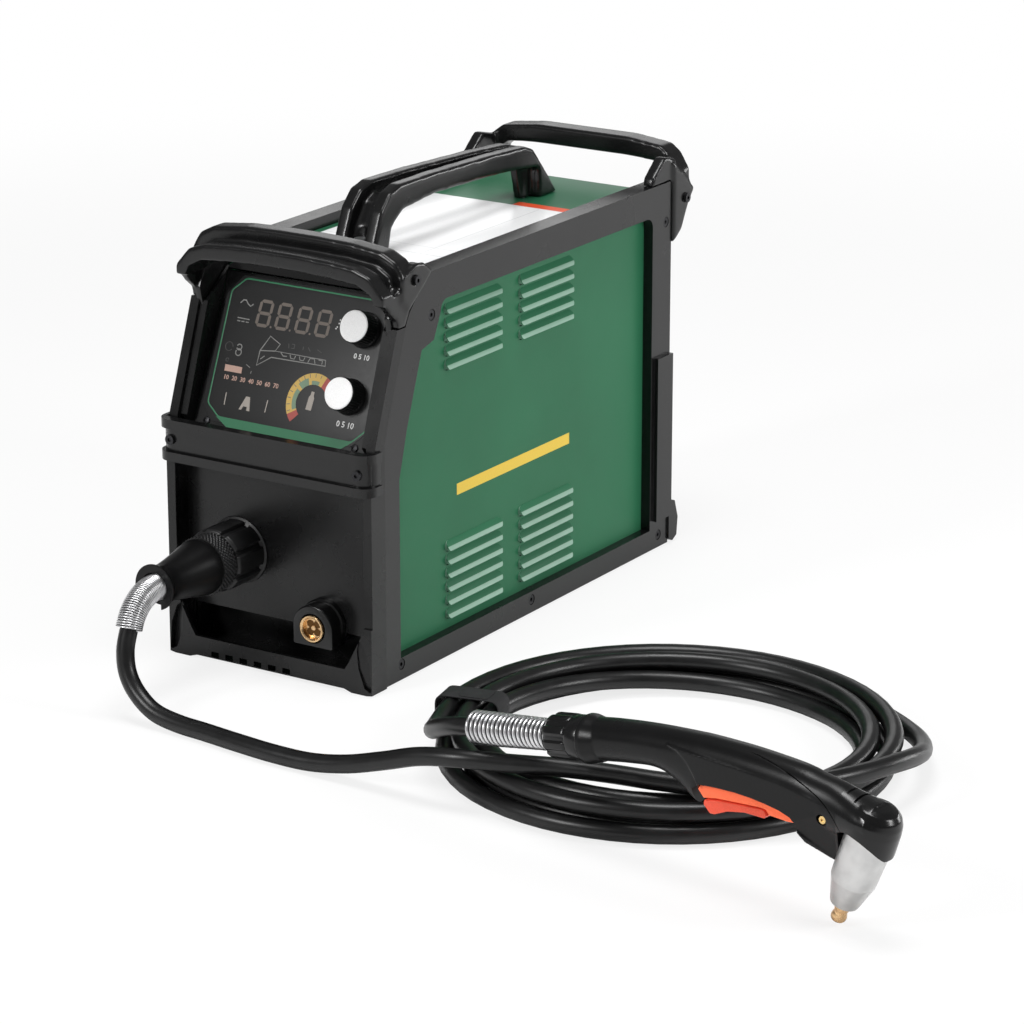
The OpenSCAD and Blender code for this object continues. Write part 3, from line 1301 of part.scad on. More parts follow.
// Axes of the cup: Z up along its axis, from the tip that rests on the floor
cup_foot = [371, 0];
module on_cup() on_torch() translate([cup_foot[0], 0, cup_foot[1] + tip_lift]) rotate([0, cup_tilt, 0])
    children();
tip_lift = 1.6;
tip_out = 9;            // how far the tip stands out of the cup
cup_top = tip_out + cup_l;

module shield_cup() color("#c9ccce") on_cup() difference() {
    rotate_extrude() polygon([[0, tip_out], [cup_d / 4 + 0.5, tip_out], [cup_d / 2 - 0.5, tip_out + 25],
        [cup_d / 2, tip_out + 28],
        [cup_d / 2, cup_top], [0, cup_top]]);
    translate([0, 0, tip_out - 1]) cylinder(h = 8, d = tip_d + 2 * air);
    translate([0, 0, tip_out + 6]) cylinder(h = 12, d = 17);
    translate([0, 0, tip_out + 18]) cylinder(h = cup_l, d = spigot_cup + 2 * shaft_gap);
}

spigot_cup = 30;

module torch_tip() color("#b8763a") on_cup() {
    rotate_extrude() polygon([[0, 0], [2.2, 0], [tip_d / 2, 3], [tip_d / 2, tip_out + 6.3], [7.5,
        tip_out + 6.3],
        [7.5, tip_out + 18 + air], [0, tip_out + 18 + air]]);
}

module torch_head() color("#1e1f20") on_torch() difference() {
    translate([cup_foot[0], 0, cup_foot[1] + tip_lift]) rotate([0, cup_tilt, 0]) rotate_extrude()
        polygon([[0, tip_out + 18 + air], [spigot_cup / 2, tip_out + 18 + air], [spigot_cup / 2,
            cup_top + air],
            [cup_d / 2 + 1.5, cup_top + air], [cup_d / 2 + 1.5, cup_top + 18], [cup_d / 2 - 3,
                cup_top + 29],
            [cup_d / 2 - 11, cup_top + 35], [0, cup_top + 36]]);
    // flat where the handle's end meets the head
    translate([0, 40, 0]) rotate([90, 0, 0]) linear_extrude(80)
        polygon([[300, 40], [362, 40], [366.2, 56], [370.2, 76], [376.2, 92], [374.2, 116], [374, 140],
            [300, 140]]);
}

echo(str("lead coil: least gap to itself ", least_gap(coil_line, 12, lead_d), " mm"));
echo(str("connector spring: least gap to itself ", least_gap(guard_wire, 6, guard_wire_d), " mm"));
echo(str("torch spring: least gap to itself ", least_gap(relief_wire, 6, relief_wire_d), " mm"));

base_tray();
rubber_feet();
side_panel_right();
side_panel_left();
top_cover();
side_frame_right();
side_frame_left();
case_screws();
front_bezel();
belt_bumper();
front_bumper();
rear_bumper();
control_panel();
panel_overlay();
display_window();
display_board();
current_knob();
current_knob_cap();
current_shaft();
current_encoder();
pressure_knob();
pressure_knob_cap();
pressure_shaft();
pressure_regulator();
carry_handle();
handle_screws();
rear_panel();
fan_housing();
fan_rotor();
fan_guard();
power_switch();
power_rocker();
mains_gland();
air_inlet();
air_line();
divider_plate();
heat_sink();
power_board();
transformer();
torch_socket();
lock_ring();
connector_body();
connector_spring();
work_socket();
work_contact();
torch_lead();
lead_coil();
lead_tail();
coil_strap();
torch_spring();
torch_collar();
torch_handle();
torch_screws();
trigger();
trigger_release();
torch_switch();
switch_plunger();
torch_head();
shield_cup();
torch_tip();
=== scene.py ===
import bpy
import bmesh
import math
from mathutils import Matrix, Vector


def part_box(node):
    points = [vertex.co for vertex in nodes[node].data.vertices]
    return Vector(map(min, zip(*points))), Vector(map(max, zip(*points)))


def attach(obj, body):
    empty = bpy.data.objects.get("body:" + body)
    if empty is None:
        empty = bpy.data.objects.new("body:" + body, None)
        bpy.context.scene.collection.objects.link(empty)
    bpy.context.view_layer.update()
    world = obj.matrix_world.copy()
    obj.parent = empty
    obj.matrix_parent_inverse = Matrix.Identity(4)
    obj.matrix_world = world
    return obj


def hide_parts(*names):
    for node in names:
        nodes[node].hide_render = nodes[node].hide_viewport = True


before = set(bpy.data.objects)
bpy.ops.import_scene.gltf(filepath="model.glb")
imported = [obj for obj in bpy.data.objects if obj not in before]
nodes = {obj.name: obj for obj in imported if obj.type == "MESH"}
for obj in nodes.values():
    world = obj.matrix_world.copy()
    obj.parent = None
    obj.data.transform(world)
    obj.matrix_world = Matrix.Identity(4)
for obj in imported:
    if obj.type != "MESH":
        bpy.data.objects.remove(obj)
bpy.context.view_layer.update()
mm = 0.001
caseHalf = 260          # half the distance between the front feet and the rear pillars
cornerShare = 0.48      # of an edge, that one rounded corner may take
flatAngle = 0.02        # faces that meet flatter than this are one face
roundAngle = 0.45       # edges sharper than this are rounded
sameLevel = 1e-7
together = 2e-6         # points closer than this are one point


# places
def at(x, d, z):        # x across, d behind the front feet, z up, all in mm
    return Vector((x, d - caseHalf, z)) * mm


def turn(degrees, axis):
    return Matrix.Rotation(math.radians(degrees), 4, axis)


def shift(x, y, z):
    return Matrix.Translation(Vector((x, y, z)) * mm)


def facingFront(x, d, z):       # local Z points out of the front
    return Matrix.Translation(at(x, d, z)) @ turn(90, "X")


def facingRight(x, d, z):       # local X runs to the rear and local Y up
    return Matrix.Translation(at(x, d, z)) @ Matrix(((0, 0, 1, 0), (1, 0, 0, 0), (0, 1, 0, 0), (0, 0, 0, 1)))


mirrorX = Matrix.Scale(-1, 4, (1, 0, 0))
panelFrame = Matrix.Translation(at(0, 21, 214)) @ turn(90 - 24, "X")    # X across, Y up the slope, Z out
torchFrame = Matrix.Translation(at(318, -155, 0)) @ turn(-8.7, "Z")
reliefFrame = torchFrame @ shift(0, 0, 66) @ turn(-10, "Y")
cupFrame = torchFrame @ shift(371, 0, 1.6) @ turn(17.5, "Y")
cupLean = cupFrame @ shift(0, 0, 84) @ turn(3, "Y") @ shift(0, 0, -84)


# outlines
def oblong(x0, y0, x1, y1):
    return [(x0, y0), (x1, y0), (x1, y1), (x0, y1)]


def fillet(points, radius, steps=5):        # a point may carry its own radius
    out = []
    for i, p in enumerate(points):
        here = Vector(p[:2])
        r = p[2] if len(p) > 2 else radius
        if r <= 0:
            out.append(tuple(here))
            continue
        back = Vector(points[i - 1][:2]) - here
        ahead = Vector(points[(i + 1) % len(points)][:2]) - here
        trim = min(r / math.tan(back.angle(ahead) / 2), back.length * cornerShare, ahead.length * cornerShare)
        a, b = here + back.normalized() * trim, here + ahead.normalized() * trim
        for k in range(steps + 1):
            t = k / steps
            out.append(tuple(a * (1 - t) ** 2 + here * 2 * t * (1 - t) + b * t * t))
    return out


def through(points, steps):     # a smooth open curve through the points
    p = [Vector(q) for q in points]
    out = []
    for i in range(len(p) - 1):
        a, b, c, d = p[max(i - 1, 0)], p[i], p[i + 1], p[min(i + 2, len(p) - 1)]
        for k in range(steps):
            t = k / steps
            out.append(0.5 * (2 * b + (c - a) * t + (2 * a - 5 * b + 4 * c - d) * t * t
                              + (3 * b - a - 3 * c + d) * t ** 3))
    return out + [p[-1]]


def arc(x, y, radius, first, last, steps):
    turns = [math.radians(first + (last - first) * i / steps) for i in range(steps + 1)]
    return [(x + radius * math.cos(a), y + radius * math.sin(a)) for a in turns]


def onCircle(u, radius, height):        # u runs from 0 to 1 round the circle
    return radius * math.cos(math.tau * u), radius * math.sin(math.tau * u), height


def limited(value):
    return min(1, max(0, value))


def rowAt(rows, v):     # v runs from 0 to 1 along the rows
    return rows[round(v * (len(rows) - 1))]


# mesh making
def shown(name, data):
    made = bpy.data.objects.new(name, data)
    bpy.context.scene.collection.objects.link(made)
    return made


def meshFrom(name, bm):
    mesh = bpy.data.meshes.new(name)
    bm.to_mesh(mesh)
    bm.free()
    return mesh


def finished(made):     # the mesh that an object's modifiers or curve settings make; the object goes
    shaped = made.evaluated_get(bpy.context.evaluated_depsgraph_get())
    bm = bmesh.new()
    bm.from_mesh(shaped.to_mesh())
    shaped.to_mesh_clear()
    bpy.data.objects.remove(made)
    return bm


def outward(bm):
    bmesh.ops.recalc_face_normals(bm, faces=bm.faces)
    return bm


def capped(bm):         # closes every open end
    bmesh.ops.holes_fill(bm, edges=[e for e in bm.edges if e.is_boundary], sides=0)
    return bm


def lifted(bm, grown, height):      # moves the points that an extrude has added
    bmesh.ops.translate(bm, verts=[v for v in grown if isinstance(v, bmesh.types.BMVert)], vec=(0, 0, height * mm))
    return outward(bm)


def isLevel(edge):
    return abs(edge.verts[0].co.z - edge.verts[1].co.z) < sameLevel


def placed(bm, matrix):
    bmesh.ops.transform(bm, matrix=matrix, verts=bm.verts)
    if matrix.determinant() < 0:
        bmesh.ops.reverse_faces(bm, faces=bm.faces)
    return bm


def bevelled(bm, edges, size, segments=3):
    bmesh.ops.bevel(bm, geom=edges, offset=size * mm, offset_type="OFFSET", segments=segments,
                    profile=0.5, affect="EDGES", clamp_overlap=True, material=-1)
    return bm


def slab(outline, low, high, edge=0, segments=3):       # an outline in X and Y, raised along Z
    bm = bmesh.new()
    face = bm.faces.new([bm.verts.new((x * mm, y * mm, low * mm)) for x, y in outline])
    grown = bmesh.ops.extrude_face_region(bm, geom=[face])["geom"]
    lifted(bm, grown, high - low)
    if edge:
        bevelled(bm, [e for e in bm.edges if isLevel(e)], edge, segments)
    return bm


def block(low, high, edge=0):
    bm = bmesh.new()
    bmesh.ops.create_cube(bm, size=1)
    size = Vector(high) - Vector(low)
    middle = (Vector(high) + Vector(low)) / 2
    bmesh.ops.scale(bm, vec=size * mm, verts=bm.verts)
    bmesh.ops.translate(bm, vec=middle * mm, verts=bm.verts)
    if edge:
        bevelled(bm, bm.edges[:], edge)
    return bm


def lathe(profile, steps):      # distance from the axis and height along Z
    bm = bmesh.new()
    verts = [bm.verts.new((r * mm, 0, z * mm)) for r, z in profile]
    for a, b in zip(verts, verts[1:]):
        bm.edges.new((a, b))
    bmesh.ops.spin(bm, geom=bm.verts[:] + bm.edges[:], axis=(0, 0, 1), cent=(0, 0, 0),
                   angle=math.tau, steps=steps, use_merge=True)
    bmesh.ops.remove_doubles(bm, verts=bm.verts, dist=together / 2)
    return outward(bm)


def joined(parts):
    bm = bmesh.new()
    for part in parts:
        mesh = meshFrom("part", part)
        bm.from_mesh(mesh)
        bpy.data.meshes.remove(mesh)
    return bm


def cadShape(name):         # a merged copy of a CAD node
    bm = bmesh.new()
    bm.from_mesh(nodes[name].data)
    bmesh.ops.remove_doubles(bm, verts=bm.verts, dist=together)
    return bm


def worked(bm, modifiers):      # the mesh after a few modifiers, given as kind and settings
    mesh = meshFrom("work", bm)
    work = shown("work", mesh)
    for kind, settings in modifiers:
        modifier = work.modifiers.new(kind.lower(), kind)
        for key, value in settings.items():
            setattr(modifier, key, value)
    out = finished(work)
    bpy.data.meshes.remove(mesh)
    return out


def cut(bm, tool):      # takes the tool's shape out of the piece
    mesh = meshFrom("tool", outward(tool))
    cutter = shown("tool", mesh)
    out = worked(bm, [("BOOLEAN", {"object": cutter, "operation": "DIFFERENCE", "solver": "EXACT"})])
    bpy.data.objects.remove(cutter)
    bpy.data.meshes.remove(mesh)
    return out


def swept(sides, rows, place):      # a grid rolled up, place(around, along) gives each point in mm
    bm = bmesh.new()
    bmesh.ops.create_grid(bm, x_segments=sides, y_segments=rows, size=0.5)
    for v in bm.verts:
        v.co = Vector(place(v.co.x + 0.5, v.co.y + 0.5)) * mm
    bmesh.ops.remove_doubles(bm, verts=bm.verts, dist=together)
    return outward(capped(bm))


def inOnePlane(bm):     # flat neighbours become one face
    bmesh.ops.dissolve_limit(bm, angle_limit=flatAngle, verts=bm.verts, edges=bm.edges)
    return bm


def eased(bm, size):        # rounds the sharp edges of a copied CAD shape
    inOnePlane(bm)
    edges = [e for e in bm.edges if e.is_manifold and e.calc_face_angle(0) > roundAngle]
    return bevelled(bm, edges, size)


def painted(bm, index):     # which of the piece's finishes these faces take
    for face in bm.faces:
        face.material_index = index
    return bm


ink = {"thick": 0.12, "letterHalf": 0.06, "bold": 0.022}


def meshOf(curve):      # a curve or lettering as a bmesh
    bm = finished(shown("work", curve))
    bpy.data.curves.remove(curve)
    return bm


def tube(name, lines, radius, smooth, closed=False):        # a round curve along each line of points in metres
    curve = bpy.data.curves.new(name, "CURVE")
    curve.dimensions, curve.bevel_depth, curve.bevel_resolution = "3D", radius * mm, smooth
    curve.use_fill_caps = True
    for line in lines:
        spline = curve.splines.new("POLY")
        spline.points.add(len(line) - 1)
        spline.use_cyclic_u = closed
        for target, p in zip(spline.points, line):
            target.co = (*p, 1)
    return curve


def strokes(lines, width, level, closed=False):     # printed lines, a little proud of the level
    bm = meshOf(tube("strokes", [[(x * mm, y * mm, 0) for x, y in line] for line in lines], width / 2, 1, closed))
    bmesh.ops.scale(bm, vec=(1, 1, ink["thick"] / width), verts=bm.verts)
    bmesh.ops.translate(bm, vec=(0, 0, level * mm), verts=bm.verts)
    return bm


def lettering(text, size, x, y, level):
    curve = bpy.data.curves.new("lettering", "FONT")
    curve.body, curve.size, curve.extrude, curve.resolution_u = text, size * mm, ink["letterHalf"] * mm, 3
    curve.align_x, curve.align_y, curve.offset = "CENTER", "CENTER", size * ink["bold"] * mm
    bm = meshOf(curve)
    bmesh.ops.translate(bm, vec=Vector((x, y, level)) * mm, verts=bm.verts)
    return bm


def moulded(bm, grain, passes):     # wraps the parts in one even skin, and eases every edge
    return worked(bm, [("REMESH", {"mode": "VOXEL", "voxel_size": grain * mm, "adaptivity": 0}),
                       ("SMOOTH", {"factor": 0.5, "iterations": passes})])


def piece(name, bm, looks, slot=None, *stands, body="unit", sharp=38, flats=False):     # stands: its CAD nodes
    mesh = meshFrom(name, bm)
    for look in looks if isinstance(looks, list) else [looks]:
        mesh.materials.append(finishes[look] if isinstance(look, str) else look)
    for polygon in mesh.polygons:
        polygon.use_smooth = True
    mesh.set_sharp_from_angle(angle=math.radians(sharp))
    made = shown(name, mesh)
    if flats:       # keeps wide faces flat beside their rounded edges
        made.modifiers.new("flats", "WEIGHTED_NORMAL").keep_sharp = True
    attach(made, body)
    if stands:
        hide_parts(*stands)
    return made


# finishes
class Link:         # a node's output, with the sums that finishes need
    def __init__(self, finish, socket):
        self.finish, self.socket = finish, socket

    def sum(self, kind, *others):
        return self.finish.node("ShaderNodeMath", {"operation": kind}, dict(enumerate((self,) + others)))

    def __add__(self, other):
        return self.sum("ADD", other)

    def __sub__(self, other):
        return self.sum("SUBTRACT", other)

    def __rsub__(self, other):
        return self.finish.node("ShaderNodeMath", {"operation": "SUBTRACT"}, {0: other, 1: self})

    def __mul__(self, other):
        return self.sum("MULTIPLY", other)

    def __gt__(self, other):
        return self.sum("GREATER_THAN", other)

    def __abs__(self):
        return self.sum("ABSOLUTE")

    __radd__ = __add__
    __rmul__ = __mul__


class Finish:
    def __init__(self, name, rough, metal=0, shine=0.5):
        self.material = bpy.data.materials.new(name)
        self.material.use_nodes = True
        self.tree = self.material.node_tree
        self.shader = self.tree.nodes["Principled BSDF"]
        self.set("Roughness", rough)
        self.set("Metallic", metal)
        self.set("Specular IOR Level", shine)
        self.coords = self.node("ShaderNodeTexCoord", out="Object")

    def node(self, kind, settings=None, inputs=None, out=0):
        node = self.tree.nodes.new(kind)
        for key, value in (settings or {}).items():
            setattr(node, key, value)
        for key, value in (inputs or {}).items():
            if isinstance(value, Link):
                self.tree.links.new(value.socket, node.inputs[key])
            else:
                node.inputs[key].default_value = value
        return Link(self, node.outputs[out])

    def set(self, name, value):
        if isinstance(value, Link):
            self.tree.links.new(value.socket, self.shader.inputs[name])
        else:
            self.shader.inputs[name].default_value = value

    def noise(self, scale, detail=2, rough=0.5, coords=None):
        return self.node("ShaderNodeTexNoise", None, {"Vector": coords or self.coords, "Scale": scale,
                                                       "Detail": detail, "Roughness": rough})

    def mix(self, factor, a, b):        # two colours
        return self.node("ShaderNodeMix", {"data_type": "RGBA"},
                         {0: factor, 6: a + (1,) if isinstance(a, tuple) else a,
                          7: b + (1,) if isinstance(b, tuple) else b}, out=2)

    def tint(self, value, low, high, colour, dark, bright):     # the colour from dark to bright as the value grows
        self.set("Base Color", self.mix(self.ramp(value, low, high), shade(colour, dark), shade(colour, bright)))

    def ramp(self, value, low, high):
        return self.node("ShaderNodeMapRange", {"interpolation_type": "SMOOTHSTEP"},
                         {"Value": value, "From Min": low, "From Max": high})

    def acrossAndAlong(self):       # X and Y of the object's coordinates
        split = self.node("ShaderNodeSeparateXYZ", None, {"Vector": self.coords})
        return [Link(self, output) for output in split.socket.node.outputs[:2]]

    def bump(self, height, strength, depth):
        self.set("Normal", self.node("ShaderNodeBump", None, {"Height": height, "Strength": strength,
                                                               "Distance": depth * mm}))


def shade(colour, factor):
    return tuple(c * factor for c in colour)


def mouldedPlastic(name, colour, rough=0.42, grain=1200, strength=0.25, shine=0.4):
    f = Finish(name, rough, shine=shine)
    cloud = f.noise(11, 3)
    speck = f.noise(grain, 2, 0.6)
    f.tint(cloud * 0.7 + speck * 0.3, 0.35, 0.65, colour, 0.82, 1.2)
    f.set("Roughness", f.noise(26, 4) * 0.16 + (rough - 0.08))
    f.bump(speck, strength, 0.12)
    return f.material


def powderCoat(name, colour, shine=0.14):
    f = Finish(name, 0.4, shine=shine)
    peel = f.noise(620, 1, 0.4)
    dust = f.noise(2600, 1)
    f.tint(f.noise(7, 3), 0.3, 0.7, colour, 0.93, 1.07)
    f.set("Roughness", f.noise(40, 3) * 0.12 + 0.33)
    f.bump(peel + dust * 0.25, 0.3, 0.14)
    return f.material


def rubber(name, colour, rough=0.5):
    f = Finish(name, rough, shine=0.4)
    bloom = f.noise(38, 4, 0.6)
    f.tint(bloom, 0.35, 0.75, colour, 1, 1.7)
    f.set("Roughness", bloom * 0.2 + (rough - 0.1))
    f.bump(f.noise(900, 3, 0.6) + f.noise(160, 2) * 0.6, 0.3, 0.14)
    return f.material


def metal(name, colour, rough=0.3, grain=(1, 1, 1), depth=0.05):      # grain stretches the brush marks
    f = Finish(name, rough, 1)
    stretched = f.node("ShaderNodeMapping", None, {"Vector": f.coords, "Scale": grain})
    marks = f.noise(700, 3, 0.6, stretched)
    f.tint(f.noise(60, 3), 0.3, 0.75, colour, 1, 0.8)
    f.set("Roughness", marks * 0.2 + (rough - 0.1))
    f.bump(marks, 0.4, depth)
    return f.material


def printed(name, colour, rough=0.4):
    f = Finish(name, rough, shine=0.35)
    f.tint(f.noise(1500, 2), 0.35, 0.7, colour, 1, 0.9)
    f.set("Roughness", f.noise(300, 2) * 0.1 + (rough - 0.05))
    return f.material


# a CAD finish may have taken the name already, so Blender adds a number after a point
finishes = {finish.name.split(".")[0]: finish for finish in [
    mouldedPlastic("mouldBlack", (0.005, 0.005, 0.0052), 0.25, shine=0.4),
    mouldedPlastic("frontBlack", (0.006, 0.006, 0.0062), 0.27, 1500, 0.2, shine=0.32),
    mouldedPlastic("handleBlack", (0.0045, 0.0045, 0.0047), 0.3, 1000, 0.12, shine=0.22),
    powderCoat("greenPaint", (0.028, 0.152, 0.074)),
    rubber("leadRubber", (0.0045, 0.0045, 0.0047), 0.34),
    rubber("footRubber", (0.015, 0.015, 0.015), 0.65),
    metal("springSteel", (0.72, 0.72, 0.73), 0.3),
    metal("zincSteel", (0.55, 0.56, 0.57), 0.38),
    metal("darkSteel", (0.045, 0.045, 0.048), 0.42),
    metal("cupSteel", (0.62, 0.62, 0.615), 0.36, (0.06, 0.06, 1), 0.03),
    metal("tipGold", (0.83, 0.56, 0.3), 0.28, depth=0.02),
    mouldedPlastic("headBlack", (0.0048, 0.0048, 0.005), 0.22, 1000, 0.08, shine=0.36),
    metal("brass", (0.78, 0.55, 0.24), 0.26),
    metal("alloy", (0.6, 0.61, 0.62), 0.35, (1, 0.05, 1)),
    mouldedPlastic("orange", (1, 0.16, 0.058), 0.42, 900, 0.12, shine=0.3),
    mouldedPlastic("redOrange", (0.8, 0.09, 0.045), 0.42, 900, 0.12, shine=0.3),
    mouldedPlastic("rockerRed", (0.42, 0.02, 0.015), 0.28, 900, 0.05),
    printed("solderMask", (0.015, 0.11, 0.04), 0.35),
    printed("blueLine", (0.03, 0.1, 0.36), 0.35),
    metal("woundCore", (0.35, 0.2, 0.08), 0.5),
    printed("paleNylon", (0.72, 0.72, 0.68), 0.45),
]}
print("finishes made")


# camera
def aimed(place, back):     # stands at the place with its back turned that way
    return Matrix.Translation(place) @ back.to_track_quat("Z", "Y").to_matrix().to_4x4()


view = {"place": (1.9605, -2.9172, 1.2122), "azimuth": 32.7, "elevation": 17.85, "lens": 139.46}
azimuth, elevation = math.radians(view["azimuth"]), math.radians(view["elevation"])
back = Vector((math.sin(azimuth) * math.cos(elevation), -math.cos(azimuth) * math.cos(elevation), math.sin(elevation)))
lens = bpy.data.cameras.new("camera")
lens.lens, lens.sensor_width, lens.clip_end = view["lens"], 36, 60
camera = shown("camera", lens)
camera.matrix_world = aimed(view["place"], back)
bpy.context.scene.camera = camera


# torch lead
lead = {"thick": 16, "middle": (404, 13), "start": 70, "outer": 197, "pitch": 19.4, "layer": 17.2, "low": 9.6,
        "turnsIn": 2, "turnsOut": 1.872, "steps": 60, "curveSteps": 6}
free = [(-45, -146, 58), (-40, -150, 40), (-28, -153, 25), (-8, -156, 13), (18, -158, 8.5), (50, -161, 8),
        (88, -166, 8), (128, -170, 8), (166, -171, 9), (203, -171, 15), (240, -172, 26), (277, -173, 38),
        (315, -172, 44), (354, -160, 44), (394, -145, 44), (434, -135, 44), (474, -128, 44), (514, -117, 44),
        (552, -95, 44), (582, -63, 44), (601, -24, 43), (609, 18, 39), (607, 60, 31), (594, 100, 21),
        (571, 138, 13), (541, 166, 10), (512, 184, 9.6)]
tail = [(242, -101, 31), (256, -121, 41), (276, -137, 52), (298, -149, 61)]
guard = {"x": -45, "z": 103, "front": -104, "radius": 38, "turn": 75, "straight": 24}


def guardAt(s):         # place and heading on the middle line of the connector's spring
    a = max(0, (s - guard["straight"]) / guard["radius"])
    ahead = min(s, guard["straight"]) - guard["straight"]
    place = at(guard["x"], guard["front"] - ahead - guard["radius"] * math.sin(a),
               guard["z"] - guard["radius"] * (1 - math.cos(a)))
    return place, Vector((0, -math.cos(a), -math.sin(a)))


def coilAt(u):          # in along the floor, up a layer, and out again
    inner = lead["outer"] - lead["pitch"] * lead["turnsIn"]
    over = u - lead["turnsIn"]
    r = lead["outer"] - lead["pitch"] * u if over < 0 else inner + lead["pitch"] * max(0, over - 0.5)
    t = limited(over * 2)
    a = math.radians(lead["start"]) + math.tau * u
    return at(lead["middle"][0] + r * math.cos(a), lead["middle"][1] + r * math.sin(a),
              lead["low"] + lead["layer"] * t * t * (3 - 2 * t))


guardLength = guard["straight"] + guard["radius"] * math.radians(guard["turn"])
turns = lead["turnsIn"] + 0.5 + lead["turnsOut"]
rings = math.ceil(turns * lead["steps"])
coilLine = [coilAt(turns * i / rings) for i in range(rings + 1)]
first = (coilLine[0] - coilLine[1]).normalized() * lead["thick"] * mm
last = (coilLine[-1] - coilLine[-2]).normalized() * lead["thick"] * mm
coilLine = [coilLine[0] + first] + coilLine + [coilLine[-1] + last]
leadExit = guardAt(guardLength)[0]
reliefStart = torchFrame @ (Vector((0, 0, 66)) * mm)
leadLine = through([leadExit] + [at(*p) for p in free] + [coilLine[0]], lead["curveSteps"])[:-1] + coilLine
leadLine += through([coilLine[-1]] + [at(*p) for p in tail] + [reliefStart], lead["curveSteps"])[1:]


def wire(name, points, radius, finish, smooth=5):
    curve = tube(name, [points], radius, smooth)
    curve.materials.append(finish)
    made = shown(name, curve)
    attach(made, "unit")
    return made


def lengthOf(points):
    return sum((b - a).length for a, b in zip(points, points[1:]))


torchLead = wire("torchLead", leadLine, lead["thick"] / 2, finishes["leadRubber"], smooth=6)
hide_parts("torch_lead", "lead_coil", "lead_tail")
print("torch lead", round(lengthOf(leadLine), 2), "m")


def windings(middleAndHeading, length, outer, thick, pitch, side, perTurn=28):
    out = []
    usable = length - thick
    steps = round(usable / pitch * perTurn)
    for i in range(steps + 1):
        s = thick / 2 + usable * i / steps
        place, heading = middleAndHeading(s)
        r = (outer(s / length) - thick) / 2 * mm
        a = math.tau * i / perTurn
        out.append(place + r * (math.cos(a) * side + math.sin(a) * heading.cross(side)))
    return out


connectorSpring = {"outer": 24, "wire": 1.7, "pitch": 1.74, "short": 0.6, "perTurn": 24}
coils = windings(guardAt, guardLength - connectorSpring["short"],
                 lambda t: connectorSpring["outer"], connectorSpring["wire"],
                 connectorSpring["pitch"], Vector((1, 0, 0)), connectorSpring["perTurn"])
guardSpring = wire("connectorSpring", coils, connectorSpring["wire"] / 2, finishes["springSteel"], smooth=1)
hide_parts("connector_spring")

torchSpring = {"length": 88, "outer": 29, "outerEnd": 26, "wire": 3.3, "pitch": 4.55}


def reliefAt(s):
    return reliefFrame @ (Vector((s, 0, 0)) * mm), (reliefFrame.to_3x3() @ Vector((1, 0, 0)))


coils = windings(reliefAt, torchSpring["length"],
                 lambda t: torchSpring["outer"] * (1 - t) + torchSpring["outerEnd"] * t,
                 torchSpring["wire"], torchSpring["pitch"], torchFrame.to_3x3() @ Vector((0, 1, 0)))
reliefSpring = wire("torchSpring", coils, torchSpring["wire"] / 2, finishes["springSteel"], smooth=2)
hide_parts("torch_spring")
print("springs wound")

# the core of each spring
sleeve = {"thick": 15.6, "step": 3}
sleeveLine = [guardAt(s)[0] for s in range(0, int(guardLength), sleeve["step"])] + [leadExit]
core = wire("leadSleeve", sleeveLine, sleeve["thick"] / 2, finishes["leadRubber"])
torchCore = wire("torchSleeve", [reliefAt(s)[0] for s in (0, 44, 88)], sleeve["thick"] / 2, finishes["leadRubber"])

# strap round the coil
strap = {"angle": 192, "width": 26, "thick": 1.2, "inner": 150.2, "outer": 206, "low": 1.3, "high": 35.2, "round": 8,
         "tab": (10, -11, 36, 11), "tabThick": 1.1, "tabSunk": 0.3, "edge": 0.35}
strapFrame = Matrix.Translation(at(*lead["middle"], 0)) @ turn(strap["angle"], "Z") @ turn(90, "X")


def band(outline, width, thick):
    bm = bmesh.new()
    verts = [bm.verts.new((x * mm, y * mm, -width / 2 * mm)) for x, y in outline]
    edges = [bm.edges.new((a, b)) for a, b in zip(verts, verts[1:] + verts[:1])]
    grown = bmesh.ops.extrude_edge_only(bm, edges=edges)["geom"]
    lifted(bm, grown, width)
    bmesh.ops.solidify(bm, geom=bm.faces[:], thickness=thick * mm)
    outward(bm)
    return bevelled(bm, [e for e in bm.edges if e.calc_face_angle(0) > 1 and isLevel(e)], strap["edge"], 2)


loop = band(fillet(oblong(strap["inner"], strap["low"], strap["outer"], strap["high"]), strap["round"]),
            strap["width"], -strap["thick"])
tab = slab(fillet(oblong(*strap["tab"]), 3), 0, strap["tabThick"], 0.3)
placed(tab, shift(strap["inner"], strap["high"] + strap["thick"] - strap["tabSunk"], 0) @ turn(-90, "X"))
strapPiece = piece("coilStrap", placed(joined([loop, tab]), strapFrame),
                   rubber("strapWebbing", (0.012, 0.012, 0.013), 0.75), "soft_black", "coil_strap")

lengthOf(leadLine)
print("lead, springs and strap done")


# case panels
louvre = {"long": 90, "high": 9.6, "out": 5, "fold": (0, 3.5), "mouth": -3.8, "wall": 0.9, "deep": 0.8,
          "edge": 0.45, "pitch": 12.7,
          "groups": [(133, 36, 6), (254, 36, 6), (133, 267.2, 5), (254, 267.2, 5)]}     # d, z and rows
# two entries of the sheet's table give the painted shadow strip under each hood: its low and high edge, and how much
# shorter than the hood it is at each end
sideSheet = {"skin": 98, "thick": 1.5, "sunk": 0.02, "bar": (153, 142.5, 342, 153), "gap": (-5.6, -3), "gapShort": 3,
             "outline": [(26, 10), (26, 222), (63, 322), (69, 332), (97.5, 348.5), (504, 348.5), (504, 10)]}


